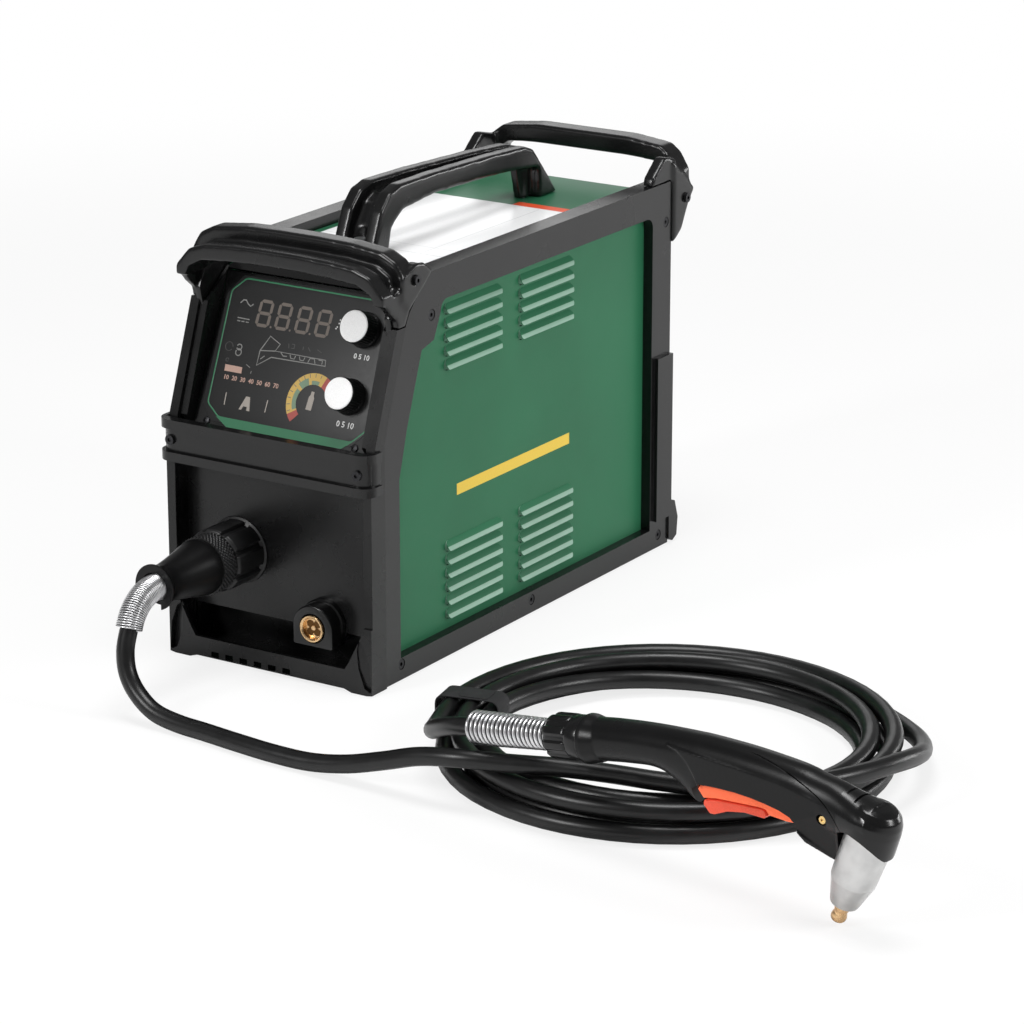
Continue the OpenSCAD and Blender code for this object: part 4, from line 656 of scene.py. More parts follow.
def louvreHood():       # a long pressed hood with round ends, hollow from below; X along it, Y up, Z out
    end = louvre["high"] / 2
    reach = louvre["long"] / 2 - end
    bm = slab(arc(reach, 0, end, -90, 90, 8) + arc(-reach, 0, end, 90, 270, 8), 0, louvre["out"])
    up, out = louvre["fold"]
    upper = Vector((0, out - 0.2, end - up)).normalized()
    lower = Vector((0, louvre["out"] - out, up - louvre["mouth"])).normalized()
    mouth = (0, louvre["mouth"], 0)
    for place, normal in (((0, up, out), upper), ((0, up, out), lower), (mouth, Vector((0, -1, 0)))):
        bmesh.ops.bisect_plane(bm, geom=bm.verts[:] + bm.edges[:] + bm.faces[:], dist=sameLevel,
                               plane_co=Vector(place) * mm, plane_no=normal, clear_outer=True)
        capped(bm)
    outward(bm)
    edges = [e for e in bm.edges if e.calc_face_angle(0) > 0.5 and min(v.co.z for v in e.verts) > 0.4 * mm
             and max(v.co.y for v in e.verts) > (louvre["mouth"] + 0.2) * mm]
    bevelled(bm, edges, louvre["edge"], 2)
    bm.normal_update()
    under = [f for f in bm.faces if f.normal.y < -0.95 and f.calc_center_median().y < (louvre["mouth"] + 0.1) * mm]
    bmesh.ops.inset_region(bm, faces=under, thickness=louvre["wall"] * mm, depth=-louvre["deep"] * mm,
                           use_even_offset=True)
    bm.normal_update()
    # faces of the lower facet and of the lower front end take index 3, a paler green that is a painted highlight
    for face in bm.faces:
        middle = face.calc_center_median()
        frontEnd = face.normal.x < -0.15 and middle.x < -reach * mm and abs(face.normal.z) < 0.3
        if frontEnd or face.normal.dot(lower) > 0.99:
            face.material_index = 3
    # the inset underside of each hood takes index 1, near-black painted shade for the inside of its opening
    for face in under:
        face.material_index = 1
    return bm


def sidePanel():
    sheet = slab(fillet(sideSheet["outline"], 3), 0, sideSheet["thick"], 0.3)
    parts = [placed(sheet, facingRight(sideSheet["skin"] - sideSheet["thick"], 0, 0))]
    surface = sideSheet["skin"] - sideSheet["sunk"]
    half = louvre["long"] / 2 - sideSheet["gapShort"]
    low, high = sideSheet["gap"]
    for d, z, rows in louvre["groups"]:
        for row in range(rows):
            place = facingRight(surface, d + louvre["long"] / 2, z + row * louvre["pitch"])
            parts.append(placed(louvreHood(), place))
            # a thin near-black strip on the panel just under each hood: a painted shadow
            gap = slab(fillet(oblong(-half, low, half, high), 1.2), 0, 0.1)
            parts.append(painted(placed(gap, place), 1))
    bar = slab(oblong(*sideSheet["bar"]), 0, ink["thick"])
    parts.append(painted(placed(bar, facingRight(surface, 0, 0)), 2))
    return joined(parts)


yellowPrint = printed("yellowPrint", (0.86, 0.6, 0.06), 0.42)
# a paler green: a painted highlight on the louvres' lower facets and front ends
paintedHighlightGreen = powderCoat("paintedHighlightGreen", (0.2, 0.37, 0.27), 0.4)
# near-black painted shade, used for the louvre mouths, the strip under each hood and the sheet behind the sill slots
paintedShadeDark = mouldedPlastic("paintedShadeDark", (0.002, 0.006, 0.003), 0.85, shine=0.1)
for hand, matrix in (("right", Matrix.Identity(4)), ("left", mirrorX)):
    piece("sidePanel_" + hand, placed(sidePanel(), matrix), ["greenPaint", paintedShadeDark, yellowPrint, paintedHighlightGreen],
          "green_paint", "side_panel_" + hand, sharp=30, flats=True)
print("side panels done")


cover = {"sheet": (-98, -1, 98, 410), "front": 94, "level": 348.5, "thick": 1.5,
         "half": 80, "field": (60, 384), "stripe": (384, 397), "stripeFrom": 8,
         "rules": [(182.4, 183.2), (206, 206.5)], "sideRule": (40, 40.5), "sideRuleRun": (183, 380)}


def coverFinish():      # green sheet with a pale printed field, fine rules and a red stripe
    f = Finish("coverPrint", 0.35)
    x, y = f.acrossAndAlong()
    d = y * 1000 + caseHalf
    w = abs(x * 1000)

    def within(value, low, high, soft=0.6):
        return f.ramp(value, low - soft, low + soft) * (1 - f.ramp(value, high - soft, high + soft))

    inside = 1 - f.ramp(w, cover["half"], cover["half"] + 1)
    field = within(d, *cover["field"]) * inside
    stripe = within(d, *cover["stripe"]) * inside * (x * 1000 > cover["stripeFrom"])
    rules = within(w, *cover["sideRule"], 0.3) * within(d, *cover["sideRuleRun"])
    for low, high in cover["rules"]:
        rules = rules + within(d, low, high, 0.3)
    peel = f.noise(620, 1, 0.4)
    colour = f.mix(f.ramp(f.noise(7, 3), 0.3, 0.7), (0.019, 0.126, 0.06), (0.023, 0.145, 0.069))
    colour = f.mix(field, colour, f.mix(f.ramp(f.noise(400, 2), 0.3, 0.7), (0.94, 0.95, 0.96), (0.98, 0.98, 0.98)))
    colour = f.mix(field * rules * 0.55, colour, (0.2, 0.21, 0.22))
    colour = f.mix(stripe, colour, (0.75, 0.09, 0.03))
    f.set("Base Color", colour)
    f.set("Roughness", 0.42 - field * 0.2)
    f.bump(peel, 0.25, 0.12)
    return f.material


coverSheet = slab(fillet(oblong(*cover["sheet"]), 0.5), 0, cover["thick"], 0.3)
placed(coverSheet, Matrix.Translation(at(0, cover["front"], cover["level"])))
low, high = (Vector(c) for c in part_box("top_cover"))
drawn = (cover["sheet"][3] - cover["sheet"][1]) * mm
bmesh.ops.scale(coverSheet, vec=(1, (high.y - low.y) / drawn, 1), verts=coverSheet.verts)
shiftBy = low.y - min(v.co.y for v in coverSheet.verts)
bmesh.ops.translate(coverSheet, vec=(0, shiftBy, 0), verts=coverSheet.verts)
piece("topCover", coverSheet, coverFinish(), "green_paint", "top_cover")


# control panel
panel = {
    "sheet": [(-88, 18), (-75, 3), (-56, 3), (-46, -6.5), (46, -6.5), (56, 3), (75, 3), (88, 18), (88, 117), (75, 135),
              (-75, 135), (-88, 117)],
    "frame": [(-70.9, 132.5), (73.7, 132), (85.4, 115), (86.6, 18.9), (74.4, 7), (-68, 7.4), (-82.7, 18.4),
              (-84, 120.2)],
    "strip": [(-70.7, 7.6), (75.8, 7.2), (60.2, -4), (-51.1, -3.8)], "top": 0.4, "print": 0.47,
    "digits": [-50.6, -30, -8.6, 12.6], "digitLow": 93.6, "digitWide": 12.2, "digitHigh": 21.6, "digitThick": 2.9,
    "bars": [(0.5, 0, 0), (0.5, 0.5, 0), (0.5, 1, 0), (0, 0.25, 1), (0, 0.75, 1), (1, 0.25, 1), (1, 0.75, 1)],
    "barGap": 0.25, "slant": 0.04, "screw": [(0, -1), (3.6, -1), (3.6, 0.7), (3, 1.5), (1.4, 1.9), (1.2, 1), (0, 1)],
    "gauge": (25, 34.5, 16, 26.2),
}


def digit(x):       # the seven bars of one figure
    wide, high, thick = panel["digitWide"], panel["digitHigh"], panel["digitThick"]
    for across, up, upright in panel["bars"]:
        a, b = (high / 4 if upright else wide / 2) - panel["barGap"], thick / 2
        bar = [(-a, 0), (b - a, b), (a - b, b), (a, 0), (a - b, -b), (b - a, -b)]
        if upright:
            bar = [(q, p) for p, q in bar]
        yield [(x + across * wide + p + (up * high + q) * panel["slant"], panel["digitLow"] + up * high + q)
               for p, q in bar]


def gaugePart(first, last, inner=0, outer=1):
    x, y, r0, r1 = panel["gauge"]
    a, b = r0 + (r1 - r0) * inner, r0 + (r1 - r0) * outer
    steps = max(2, round(abs(last - first) / 6))
    return arc(x, y, b, first, last, steps) + arc(x, y, a, last, first, steps)


top, level = panel["top"], panel["print"]


def inked(*outlines):
    return [slab(outline, top, level) for outline in outlines]


def dots(places, radius, last, steps):
    return inked(*(arc(x, y, radius, 0, last, steps) for x, y in places))


prints = [
    ("panelInk", (0.018, 0.018, 0.0183), [slab(fillet(panel["sheet"], 4), 0, top, 0.1)]),
    ("greenInk", (0.03, 0.19, 0.088), [strokes([fillet(panel["frame"], 7)], 1.4, top, True)] + inked(panel["strip"])),
    ("digitGrey", (0.155, 0.128, 0.108), inked(*(bar for x in panel["digits"] for bar in digit(x)))
     + dots([(x + 15.8, 93.4) for x in panel["digits"][:3]], 1, 330, 8)),
    ("lineGrey", (0.25, 0.25, 0.24), [
        strokes([[(-32.6, 85.6), (-20.6, 80), (-24.4, 73.4), (29.9, 73.2), (30.6, 68), (-26.9, 67.4), (-40.5, 58.2),
                  (-40.2, 71.6)]], 1.05, top, True),
        strokes([[(-40.2, 71.6), (-24.4, 73.4)], [(-38, 64.2), (-34.2, 67.6)], [(-18, 73), (-15, 70.4), (-11, 70.6)],
                 [(-8, 72.6), (-6.6, 69.6), (-2.8, 69.4), (-2, 72.4)], [(2, 72.4), (3.4, 69.4), (7, 69.4), (8, 72.4)],
                 [(12, 68.4), (13.4, 72.4), (18, 72.6), (19.6, 68.6)], [(22.6, 72.4), (26.8, 72.2), (26.8, 69)]],
                0.9, top),
        strokes([[(-72, 110.2), (-69.4, 113.2), (-66.6, 113.4), (-63.6, 110.2), (-60.6, 108.6), (-58, 111)]], 1.1, top),
        strokes([[(-71.6, 97), (-58.6, 96.8)], [(-71.4, 94.2), (-68, 94.2)], [(-66.6, 94.2), (-63.4, 94.2)],
                 [(-62, 94.2), (-58.8, 94.2)]], 0.95, top),
        strokes([arc(-62.6, 71.4, 2.6, 200, 520, 14), arc(-62.4, 66.8, 3, 150, 480, 14)], 1, top),
        strokes([[(-51.2, 57.4), (-46.8, 55.2)], [(-44.4, 52.4), (-44.6, 50)]], 0.6, top)]),
    ("faintGrey", (0.065, 0.065, 0.063), [
        strokes([arc(-73.6, 70.6, 4, 0, 330, 16), arc(-72.4, 58.6, 1.6, 0, 330, 8)], 0.6, top),
        strokes([[(-12, 82), (-11, 78)], [(-8.6, 82), (-5.4, 82), (-5.4, 78.4), (-8.6, 78.4)], [(4, 81.6), (4, 78.6)],
                 [(9, 81.6), (12, 78.4)], [(19, 81), (24, 79)]], 0.7, top)]),
    ("salmonInk", (0.56, 0.36, 0.29), inked([(-73.1, 54.4), (-54.7, 54.2), (-54.4, 48.6), (-72.8, 48.6)])
     + [lettering(str(n), 5.6, -69.4 + i * 9, 43.2, top) for i, n in enumerate((10, 20, 30, 40, 50, 60, 70))]),
    ("paleInk", (0.4, 0.36, 0.32), [strokes([[(-65.4, 30), (-64.9, 18.8)], [(-20.4, 29.8), (-20.7, 18.7)]], 1, top)]
     + inked([(-43.6, 29.6), (-48.7, 17.2), (-45.9, 17.2), (-44.5, 20.6), (-40.6, 20.6), (-40.4, 17.2), (-36.9, 17.2),
              (-39.4, 29.6)],
             [(20.4, 28), (26.3, 27.6), (27, 38.6), (25.9, 41), (26, 44.1), (23, 44.4), (22.6, 41.2), (21.3, 39.2)])),
    ("redInk", (0.44, 0.085, 0.07), inked(gaugePart(228, 211), gaugePart(66, 46))),
    ("yellowInk", (0.66, 0.44, 0.11), inked(gaugePart(211, 66))),
    ("tealInk", (0.2, 0.3, 0.2), [slab(gaugePart(first, last, 0, outer), level, level + 0.06)
                                  for first, last, outer in ((206, 150, 0.42), (140, 112, 0.62), (103, 78, 0.34))]),
    ("gaugeMarks", (0.13, 0.13, 0.15), [strokes(
        [[(panel["gauge"][0] + math.cos(a) * r, panel["gauge"][1] + math.sin(a) * r) for r in (22.2, 25.6)]
         for a in (math.radians(205 - 14 * i) for i in range(10))], 0.6, level)]),
    ("whiteInk", (0.82, 0.82, 0.81), [lettering("0 5 10", 6.4, 65.6, 81.2, top),
                                      lettering("0 5 10", 7.2, 64.4, 20.8, top)]
     + dots([(35.6, 110), (35.2, 106.8), (34, 103.6), (33, 102)], 0.7, 315, 7)),
]
sheets = [painted(joined(parts), index) for index, (name, colour, parts) in enumerate(prints)]
panelInks = [printed(name, colour, 0.42) for name, colour, parts in prints]
piece("panelPrint", placed(joined(sheets), panelFrame), panelInks, "panel_film", "panel_overlay")

knob = {"x": 63, "flutes": 36, "depth": 0.5, "places": {"current": 105, "pressure": 45.5},
        "sides": [(16.2, 0.7), (16.2, 1.7), (15.3, 3.2), (15, 3.6), (15, 16.9), (14.75, 17.8), (14.1, 18.6),
                  (13.4, 18.7)],
        "disc": [(0, 19.7), (12.9, 19.7), (13.7, 19.5), (14.1, 19.05), (14.1, 18.6), (0, 18.6)]}


def knobAt(u, v):
    radius, height = rowAt(knob["sides"], v)
    if 3.4 < height < 18:
        radius -= knob["depth"] * (0.5 + 0.5 * math.cos(math.tau * u * knob["flutes"])) ** 2
    return onCircle(u, radius, height)


knobBlack = mouldedPlastic("knobBlack", (0.009, 0.009, 0.0095), 0.35, 900, 0.1)
knobWhite = printed("knobWhite", (0.98, 0.98, 0.975), 0.5)
for name, up in knob["places"].items():
    place = panelFrame @ shift(knob["x"], up, 0)
    piece(name + "Knob", placed(swept(144, 7, knobAt), place), knobBlack, "black_plastic", name + "_knob",
          body=name + "_control", sharp=50)
    piece(name + "Disc", placed(lathe(knob["disc"], 64), place), knobWhite, None, name + "_knob_cap",
          body=name + "_control")
plateScrews = joined([placed(lathe(panel["screw"], 32), panelFrame @ shift(x, 2.6, 0)) for x in (-79.5, 79.5)])
piece("panelScrews", plateScrews, "darkSteel", "dark_steel", sharp=30)
print("control panel done")


# torch connector
connector = {"x": -45, "z": 103, "ring": (-20.3, 17.4, 27), "diamonds": 44, "raised": 1.2, "rim": 0.9,
             "notch": ((-7, -30, 96), (7, -8, 106), 1.5),
             "bell": [(0, 37.9), (24.6, 37.9), (25.4, 38.6), (25.4, 41.6), (24.7, 46), (22.9, 54), (20.9, 64), (19, 75),
                      (17.6, 85), (17.3, 90), (17.6, 95), (19, 100), (20.3, 101.6), (20.6, 102.3), (20.6, 103.5),
                      (20.1, 104), (13.4, 104), (12.7, 103.2), (12.7, 80), (0, 80)]}


def knurlAt(u, v):
    length, radius = connector["ring"][1:]
    along = limited(v * 1.12 - 0.06)
    a, b = math.pi * u * connector["diamonds"], along * length * 0.75
    raised = abs(math.sin(a + b) * math.sin(a - b)) if 0 < along < 1 else -1
    r = radius - connector["raised"] * (1 - max(raised, 0)) - (connector["rim"] if raised < 0 else 0)
    return onCircle(u, r, along * length)


knurlBlack = mouldedPlastic("knurlBlack", (0.0105, 0.0105, 0.011), 0.38, 900, 0.1)
x, z = connector["x"], connector["z"]
piece("knurledRing", placed(swept(264, 30, knurlAt), facingFront(x, connector["ring"][0], z)), knurlBlack,
      "black_plastic", "lock_ring", body="ring", sharp=50)
bell = cut(lathe(connector["bell"], 96), block(*connector["notch"]))
piece("connectorBell", placed(bell, facingFront(x, 0, z)), "handleBlack", "black_plastic", "connector_body",
      sharp=35)
print("connector done")


# torch
torch = {
    "skew": (0.176, 160, 43), "grain": 0.85, "passes": 4,
    "chin": {"top": 76, "deep": 22, "narrow": 0.3, "back": 338, "long": 26, "taper": 0.62},
    # along the torch, middle height, up, down, half width: the round upper side of the handle
    "spine": [(117, 87.2, 17.6, 17.6, 17.4), (134, 90.4, 17.4, 17.4, 17), (150, 93.6, 17.4, 17.6, 16.8),
              (170, 97.2, 17, 17.6, 16.6), (190, 99.8, 17, 17.2, 16.5), (205, 101.2, 17.2, 20, 16.5),
              (220, 102.2, 17.6, 28, 16.5), (232, 102.8, 18, 37, 16.5), (238, 103, 18.3, 37.5, 16.6),
              (246, 103.2, 18.5, 25, 16.7), (262, 103.4, 18.8, 16, 16.8), (290, 103.5, 19, 15, 17),
              (330, 102, 19, 18, 17), (350, 98, 20, 20, 17), (365, 94, 21.7, 20, 17.6), (380, 92, 20.2, 18, 19.4),
              (392, 92, 17.4, 14, 21), (404, 92, 15.4, 10, 21.4)],
    "side": [(212, 110), (222, 108.4), (232, 101.4), (239, 92.4), (244, 82), (330, 78), (338, 72), (344, 64.4),
             (355, 58.8), (363, 54.8), (370, 52.8), (375, 61), (378, 71), (381, 84), (374, 98), (350, 103), (320, 107),
             (280, 108.6), (240, 109.4)],
    "flare": [(0, 38), (20.2, 36.6), (20.4, 37.4), (20.2, 41), (18.6, 47), (17.4, 52), (0, 52)],
    "dome": [(0, 109.4), (9, 109), (14.6, 107.2), (18.6, 103.4), (20.8, 98), (21.5, 91), (21.5, 72.6), (20.9, 72),
             (0, 72)],
    "parting": [(340, 40), (369, 40), (372.6, 56), (374.4, 76), (377, 92), (374.2, 116), (374, 150), (340, 150)],
    "well": [(235.6, 50), (238, 71), (242.2, 80), (245, 86), (259.8, 87.8), (279, 88.8), (293.6, 88.6), (308, 87.5),
             (322, 85.7), (333, 82.6), (338.4, 77.4), (341, 50)],
    "trigger": [(241.6, 80.6), (244.6, 85.4, 0.8), (259.8, 87.3, 20), (279, 88.3, 30), (293.6, 88.1, 30), (308, 87, 20),
                (322, 85.1, 10), (332, 82, 3), (337, 77.6, 1), (327, 76.7, 3), (310, 77.2, 1), (307.2, 80.6, 1),
                (303, 81.2, 1), (279.4, 79.2, 20), (260, 77.3, 20), (247, 74.6, 0.6)],
    "release": [(247.6, 73.2, 0.8), (247, 69.2, 1.5), (253.2, 63.4, 1.5), (257.6, 63.6, 3), (270, 69.3, 9),
                (287, 72.9, 12), (305.6, 73.2, 1), (307.6, 75.7, 0.8), (305.6, 79, 1), (303, 79.7, 1),
                (279.4, 77.8, 20), (260, 75.7, 20)],
    "seam": [(278, 121.5), (290, 120.4), (311, 117.9), (330, 114.2), (349, 108), (363, 101.4), (375.6, 91.2),
             (382, 80)],
    "notches": [(369, 116.6), (378.5, 113.6), (387.8, 110)], "screws": [(362, 88, 1), (222, 96, -1), (150, 92, -1)],
    "screw": [(0, -9), (1.7, -9), (1.7, 13.1), (3.4, 13.1), (3.4, 14.6), (3.1, 15.3), (1.3, 15.4), (1.2, 14.4),
              (0, 14.4)],
    "screwWell": [(0, 13), (4.6, 13), (5.3, 22), (0, 22)],
    "pin": [(0, -12.6), (1.5, -12.6), (1.5, 12.6), (0, 12.6)],
    "slot": [(235, 60), (335, 60), (337, 84), (312, 95), (254, 97), (235.6, 92)],       # where the trigger moves
    "arch": [(0, -40), (25, -40), (25, 40), (0, 40)],
    "cup": [(0, 88), (18.8, 88), (19.5, 86.5), (17.9, 41.4), (17.6, 40.4), (11.9, 20), (11.3, 18.4), (10.1, 17.7),
            (7.6, 17.7), (7, 18.4), (7, 26), (0, 26)],
    "tip": [(0, 1.2), (3.4, 1.1), (5, 1.7), (6, 3.2), (6.3, 5.4), (5.6, 8.2), (5.1, 9.6), (5.6, 11.6), (6.2, 13),
            (6.3, 28), (0, 28)],
}
torchSide = torchFrame @ turn(90, "X")      # X along the torch, Y up, Z to the near side
collarFrame = reliefFrame @ shift(88, 0, 0) @ turn(90, "Y")
spine = through(torch["spine"], 5)


def handleAt(u, v):
    s, middle, up, down, half = rowAt(spine, v)
    skew, end, run = torch["skew"]      # the rear end leans with the collar
    a = math.tau * u
    y, z = half * math.cos(a), middle + (up if math.sin(a) > 0 else down) * math.sin(a)
    return s - (z - middle) * skew * max(0, (end - s) / run), y, z


def sideCut(outline, half):
    return placed(slab(outline, -half, half), torchSide)


def screwFrame(s, z, side):     # turned to its own side of the torch
    return torchSide @ shift(s, z, 0) @ turn(0 if side > 0 else 180, "X")


def torchShape():
    body = placed(swept(48, len(spine) - 1, handleAt), torchFrame)
    sides = slab(torch["side"], -17, 17)
    chin = torch["chin"]
    for v in sides.verts:       # the chin narrows downwards and forwards
        down = limited((chin["top"] * mm - v.co.y) / (chin["deep"] * mm))
        ahead = limited((v.co.x - chin["back"] * mm) / (chin["long"] * mm))
        v.co.z *= (1 - chin["narrow"] * down) * (1 - chin["taper"] * down * ahead)
    sides = placed(bevelled(sides, sides.edges[:], 1.8, 3), torchSide)
    ring = placed(lathe(torch["flare"], 64), collarFrame)
    dome = placed(lathe(torch["dome"], 64), cupFrame)
    return moulded(joined([body, sides, ring, dome]), torch["grain"], torch["passes"])


whole = torchShape()
other = whole.copy()
front = torch["parting"]
behind = [(100, 30)] + [(s - 0.3, z) for s, z in front[1:-1]] + [(100, 160)]
ahead = [(460, 30)] + front[1:-1] + [(460, 160)]
notches = [sideCut([(s - 0.9, z - 2.2), (s + 1, z - 2.6), (s + 1.6, z + 3), (s - 0.6, z + 3)], 11)
           for s, z in torch["notches"]]
seam = through(torch["seam"], 6)
edge = [tuple(p) for p in seam] + [(p.x + 0.4, p.y + 0.7) for p in reversed(seam)]
seams = [placed(slab(edge, 7, 24), torchSide @ matrix)      # the fine line where the two halves meet
         for matrix in (Matrix.Scale(-1, 4, (0, 0, 1)), Matrix.Identity(4))]
wells = [sideCut(torch["well"], 30), sideCut(torch["slot"], 13.3)]
wells += [placed(lathe(torch["screwWell"], 32), screwFrame(*screw)) for screw in torch["screws"]]
arch = placed(lathe(torch["arch"], 64), cupLean @ shift(0, 0, 86 - 25) @ turn(90, "X"))


def takenOut(bm, tools):
    for tool in tools:
        bm = cut(bm, tool)
    return bm


handle = takenOut(whole, [sideCut(ahead, 60)] + wells + [tool.copy() for tool in seams])
head = takenOut(other, [sideCut(behind, 60), arch] + notches + seams)
piece("torchHandle", handle, "handleBlack", "black_plastic", "torch_handle", sharp=50)
piece("torchHead", head, "headBlack", "black_plastic", "torch_head", sharp=50)

screws = [placed(lathe(torch["screw"], 24), screwFrame(*screw)) for screw in torch["screws"]]
pin = placed(lathe(torch["pin"], 24), torchSide @ shift(326, 78, 0))
piece("torchScrews", joined(screws + [pin]), "brass", "brass", "torch_screws", sharp=35)

collar = {"ribs": 9, "rows": [(15.5, 0), (17.4, 0.4), (18.6, 3), (18.9, 5), (18.9, 21), (18.7, 22.6), (17.9, 23.6),
                              (18.2, 24.4), (18.5, 25.4), (18.5, 34), (18, 35.6)]}


def collarAt(u, v):
    radius, height = rowAt(collar["rows"], v)
    wave = math.cos(math.tau * u * collar["ribs"])
    if 0.3 < height < 23:
        radius -= 1.5 * limited(0.2 - wave * 1.6)
    return onCircle(u, radius, height)


piece("collarNut", placed(swept(180, 10, collarAt), collarFrame), "headBlack", "black_plastic", "torch_collar",
      sharp=42)

piece("torchTrigger", placed(slab(fillet(torch["trigger"], 1), -13, 13, 1), torchSide), "orange", "orange_plastic",
      "trigger", body="trigger_body")
piece("triggerRelease", placed(slab(fillet(torch["release"], 1), -13, 13, 1), torchSide), "redOrange",
      "release_plastic", "trigger_release", body="release")

piece("shieldCup", placed(lathe(torch["cup"], 96), cupLean), "cupSteel", "cup_metal", "shield_cup", sharp=11)
piece("torchTip", placed(lathe(torch["tip"], 48), cupLean), "tipGold", "copper", "torch_tip", sharp=50)
print("torch done")


nut = {"ribs": 8, "rows": [(25.6, 0), (30.6, 0), (30.9, 0.8), (30.6, 1.6), (28.6, 2.4), (28.9, 3.6), (28.9, 36),
                          (28.3, 37.6), (26.8, 38.6), (24.4, 39), (24.4, 39.8), (21, 39.9), (21, 30)]}


def nutAt(u, v):
    radius, height = rowAt(nut["rows"], v)
    wave = math.cos(math.tau * u * nut["ribs"])
    if 3 < height < 38 and radius > 25:
        radius -= 2.6 * limited((-wave - 0.62) * 5)
    return onCircle(u, radius, height)


piece("socketNut", placed(swept(192, 12, nutAt), facingFront(connector["x"], 20, connector["z"])), knurlBlack,
      "black_plastic", "torch_socket", sharp=42)

# work lead socket
work = {"x": 47, "z": 52, "radius": 20.9, "flat": -17, "deep": 20,
        "mouth": [(0, -14), (12.9, -14), (12.9, -1.6), (13.9, 0.4), (0, 0.4)],
        "step": [(0, -19.9), (22.6, -19.9), (22.6, -15), (21.4, -13.6), (0, -13.6)],
        "bore": [(0, -18), (12.9, -18), (12.9, -10), (0, -10)],
        "ring": [(0, -22), (10.4, -22), (10.4, -1.4), (12.3, -1.4), (12.4, 0.8), (11.9, 1.7), (10.6, 1.9), (9.7, 1),
                 (9.3, -2.6), (0, -2.6)],
        "cell": [(0, -3.4), (3.3, -3.4), (3.5, -2.2), (0, -2.2)], "cellTurns": (0.8, 2.37, 3.94, 5.5), "cellsOut": 5,
        "hub": [(0, -4), (2.3, -4), (2.3, -1.9), (1.9, -1.5), (0, -1.5)]}
r, flat = work["radius"], work["flat"]
front = arc(0, 0, r, 0, 180, 28) + fillet([(-r, -8), (-r, flat, 2.5), (r, flat, 2.5), (r, -8)], 0)
shell = slab(front, -work["deep"], 0)
bevelled(shell, [e for e in shell.edges if min(v.co.z for v in e.verts) > -0.1 * mm], 1.5, 4)
shell = cut(shell, lathe(work["mouth"], 64))
step = lathe(work["step"], 72)
bmesh.ops.bisect_plane(step, geom=step.verts[:] + step.edges[:] + step.faces[:], plane_no=(0, -1, 0),
                       plane_co=(0, (flat + 0.3) * mm, 0), clear_outer=True)
step = cut(capped(step), lathe(work["bore"], 64))
workPlace = facingFront(work["x"], 0, work["z"])
piece("workSocket", placed(joined([shell, step]), workPlace), "mouldBlack", "black_plastic", "work_socket",
      sharp=40)

# four dark discs on the floor of the contact's recess are painted shade for the holes inside it
out = work["cellsOut"]
cells = [placed(lathe(work["cell"], 24), shift(out * math.cos(a), out * math.sin(a), 0)) for a in work["cellTurns"]]
contact = joined([lathe(work["ring"], 72)] + [painted(cell, 1) for cell in cells] + [lathe(work["hub"], 32)])
piece("workContact", placed(contact, workPlace), ["tipGold", metal("paintedHoleShade", (0.14, 0.07, 0.025), 0.45)],
      "brass", "work_contact", sharp=35)
# a near-black sheet behind the sill slots: painted shade for the dark inside of the case
piece("sillPaintedShade", block((-72, -252.5, 2), (72, -251.5, 12)), paintedShadeDark)
print("sockets done")

# mouldings that follow the CAD shape
crisp = {"side_frame_right": ("sideFrameRight", 1.6), "side_frame_left": ("sideFrameLeft", 1.6),
         "front_bezel": ("frontMoulding", 1), "belt_bumper": ("beltBumper", 1.5)}       # piece and width of its edges
soft = {"front_bumper": ("frontBumper", 1.1, 30), "rear_bumper": ("rearBumper", 1.3, 28),
        "carry_handle": ("carryHandle", 1.1, 36)}       # piece, grain and passes
pillar = {"x": 101, "chamfer": 4.5, "low": 60, "high": 186, "front": -257, "lean": 14, "hinge": 100,
          "groove": [(108.6, 2.6), (101, 7), (95.2, 24), (93.8, 40), (95.6, 51), (100.6, 46), (106.4, 30)]}


def frontDetail(bm):        # the chamfer beside the sockets, and the hollow at each foot of the opening
    inOnePlane(bm)
    rims = [e for e in bm.edges if all(abs(abs(v.co.x) - pillar["x"] * mm) < 0.4 * mm and v.co.y < pillar["front"] * mm
                                       and pillar["low"] * mm < v.co.z < pillar["high"] * mm for v in e.verts)]
    bevelled(bm, rims, pillar["chamfer"], 1)
    for side in (1, -1):
        hollow = slab(fillet([(x * side, z) for x, z in pillar["groove"]], 3), 0, 8)
        bmesh.ops.rotate(hollow, matrix=Matrix.Rotation(math.radians(pillar["lean"]) * side, 3, "Y"),
                         cent=(pillar["hinge"] * side * mm, 0, 0), verts=hollow.verts)
        bm = cut(bm, placed(hollow, facingFront(0, 3.2, 0)))
    return bm


for node, (name, edge) in crisp.items():
    front = node == "front_bezel"
    shape = frontDetail(cadShape(node)) if front else cadShape(node)
    piece(name, eased(shape, edge), "frontBlack" if front else "mouldBlack", "black_plastic", node, sharp=60,
          flats=True)
    print(name, "done")
for node, (name, grain, passes) in soft.items():
    piece(name, moulded(cadShape(node), grain, passes), "mouldBlack", "black_plastic", node, sharp=60)
    print(name, "done")

cheekOutline = [(48, 300), (41, 330), (50, 351), (84, 352), (98, 348), (66, 326)]
cheeks = [placed(slab(fillet(cheekOutline, 4), -3, 3, 1, 2), facingRight(x, 0, 0)) for x in (-101, 101)]
piece("bumperCheeks", joined(cheeks), "mouldBlack", "black_plastic", sharp=40)


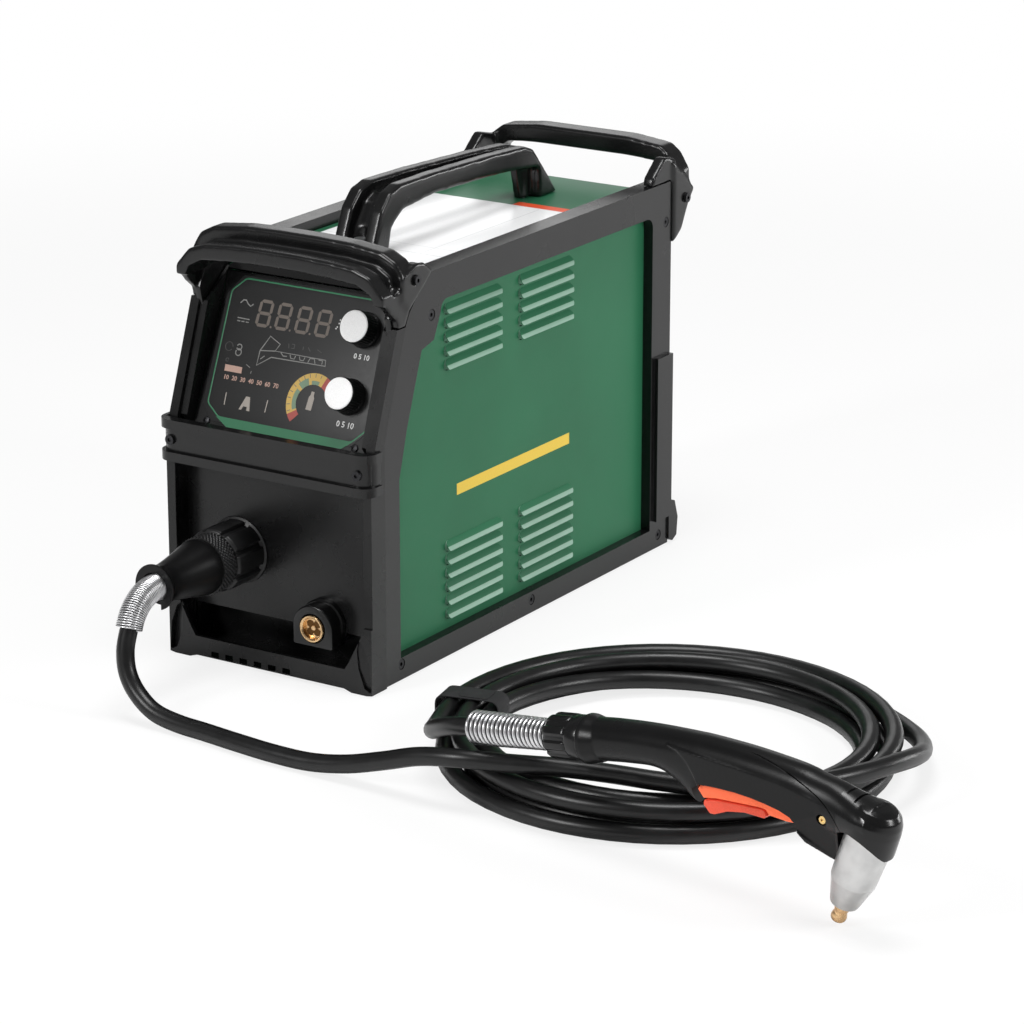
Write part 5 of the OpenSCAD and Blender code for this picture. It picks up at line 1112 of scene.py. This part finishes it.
# what stays as the CAD made it
kept = {
    "mouldBlack": ["rear_panel", "fan_housing", "fan_rotor", "power_switch", "mains_gland", "torch_switch"],
    "frontBlack": ["control_panel", "display_window"],
    "zincSteel": ["base_tray", "current_shaft", "current_encoder", "pressure_shaft", "handle_screws", "fan_guard",
                  "divider_plate"],
    "darkSteel": ["case_screws"], "footRubber": ["rubber_feet"], "solderMask": ["display_board", "power_board"],
    "alloy": ["pressure_regulator", "heat_sink"], "rockerRed": ["power_rocker"], "brass": ["air_inlet"],
    "blueLine": ["air_line"], "woundCore": ["transformer"], "paleNylon": ["switch_plunger"],
}
for finish, names in kept.items():
    for node in names:
        mesh = nodes[node].data
        mesh.materials.clear()
        mesh.materials.append(finishes[finish])
print("CAD pieces finished")


# studio
def studioFloor():      # white paper that keeps a soft shadow
    f = Finish("floorPaper", 0.9)
    f.set("Base Color", f.mix(f.ramp(f.noise(3, 2), 0.3, 0.7), (0.94, 0.94, 0.94), (0.95, 0.95, 0.95)))
    paper = f.node("ShaderNodeEmission", None, {"Color": (1, 1, 1, 1), "Strength": 1})
    seen = f.node("ShaderNodeLightPath", out="Is Camera Ray")
    x, y = f.acrossAndAlong()
    far = f.ramp(x * x + y * y, 0.7, 5)     # the paper fades to plain white away from the unit
    lit = Link(f, f.shader.outputs[0])
    shared = f.node("ShaderNodeMixShader", None, {0: seen * (far * 0.2 + 0.8), 1: lit, 2: paper})
    f.tree.links.new(shared.socket, f.tree.nodes["Material Output"].inputs["Surface"])
    return f.material


sheet = bmesh.new()
bmesh.ops.create_grid(sheet, x_segments=1, y_segments=1, size=14)
floor = meshFrom("floor", sheet)
floor.materials.append(studioFloor())
stage = shown("floor", floor)

world = bpy.data.worlds.new("studio")
bpy.context.scene.world = world
world.use_nodes = True
tree = world.node_tree
sky = tree.nodes["Background"]
seen = tree.nodes.new("ShaderNodeBackground")
seen.inputs["Color"].default_value = (1, 1, 1, 1)
sky.inputs["Color"].default_value = (1, 1, 1, 1)
sky.inputs["Strength"].default_value = 0.2
path = tree.nodes.new("ShaderNodeLightPath")
blend = tree.nodes.new("ShaderNodeMixShader")
tree.links.new(path.outputs["Is Camera Ray"], blend.inputs[0])
tree.links.new(sky.outputs[0], blend.inputs[1])
tree.links.new(seen.outputs[0], blend.inputs[2])
tree.links.new(blend.outputs[0], tree.nodes["World Output"].inputs["Surface"])


def softBox(name, place, aim, size, power):
    light = bpy.data.lights.new(name, "AREA")
    light.shape, light.size, light.size_y, light.energy = "RECTANGLE", size[0], size[1], power
    shown(name, light).matrix_world = aimed(place, Vector(place) - Vector(aim))


softBox("keyTop", (0.3, -0.3, 2.6), (0.1, 0, 0.1), (1.2, 0.8), 42)
softBox("sideFill", (2.8, 0.3, 1.5), (0, 0, 0.2), (0.7, 0.9), 32)
softBox("frontFill", (-0.9, -2.9, 1.7), (0, 0, 0.25), (0.5, 0.8), 44)
softBox("lowRight", (1.7, 2.4, 0.5), (0.1, 0, 0.25), (1.3, 0.35), 14)
softBox("backRim", (-1.2, 2.4, 1.2), (0, 0, 0.3), (1.4, 0.9), 5)

bpy.context.scene.view_settings.view_transform = "Standard"
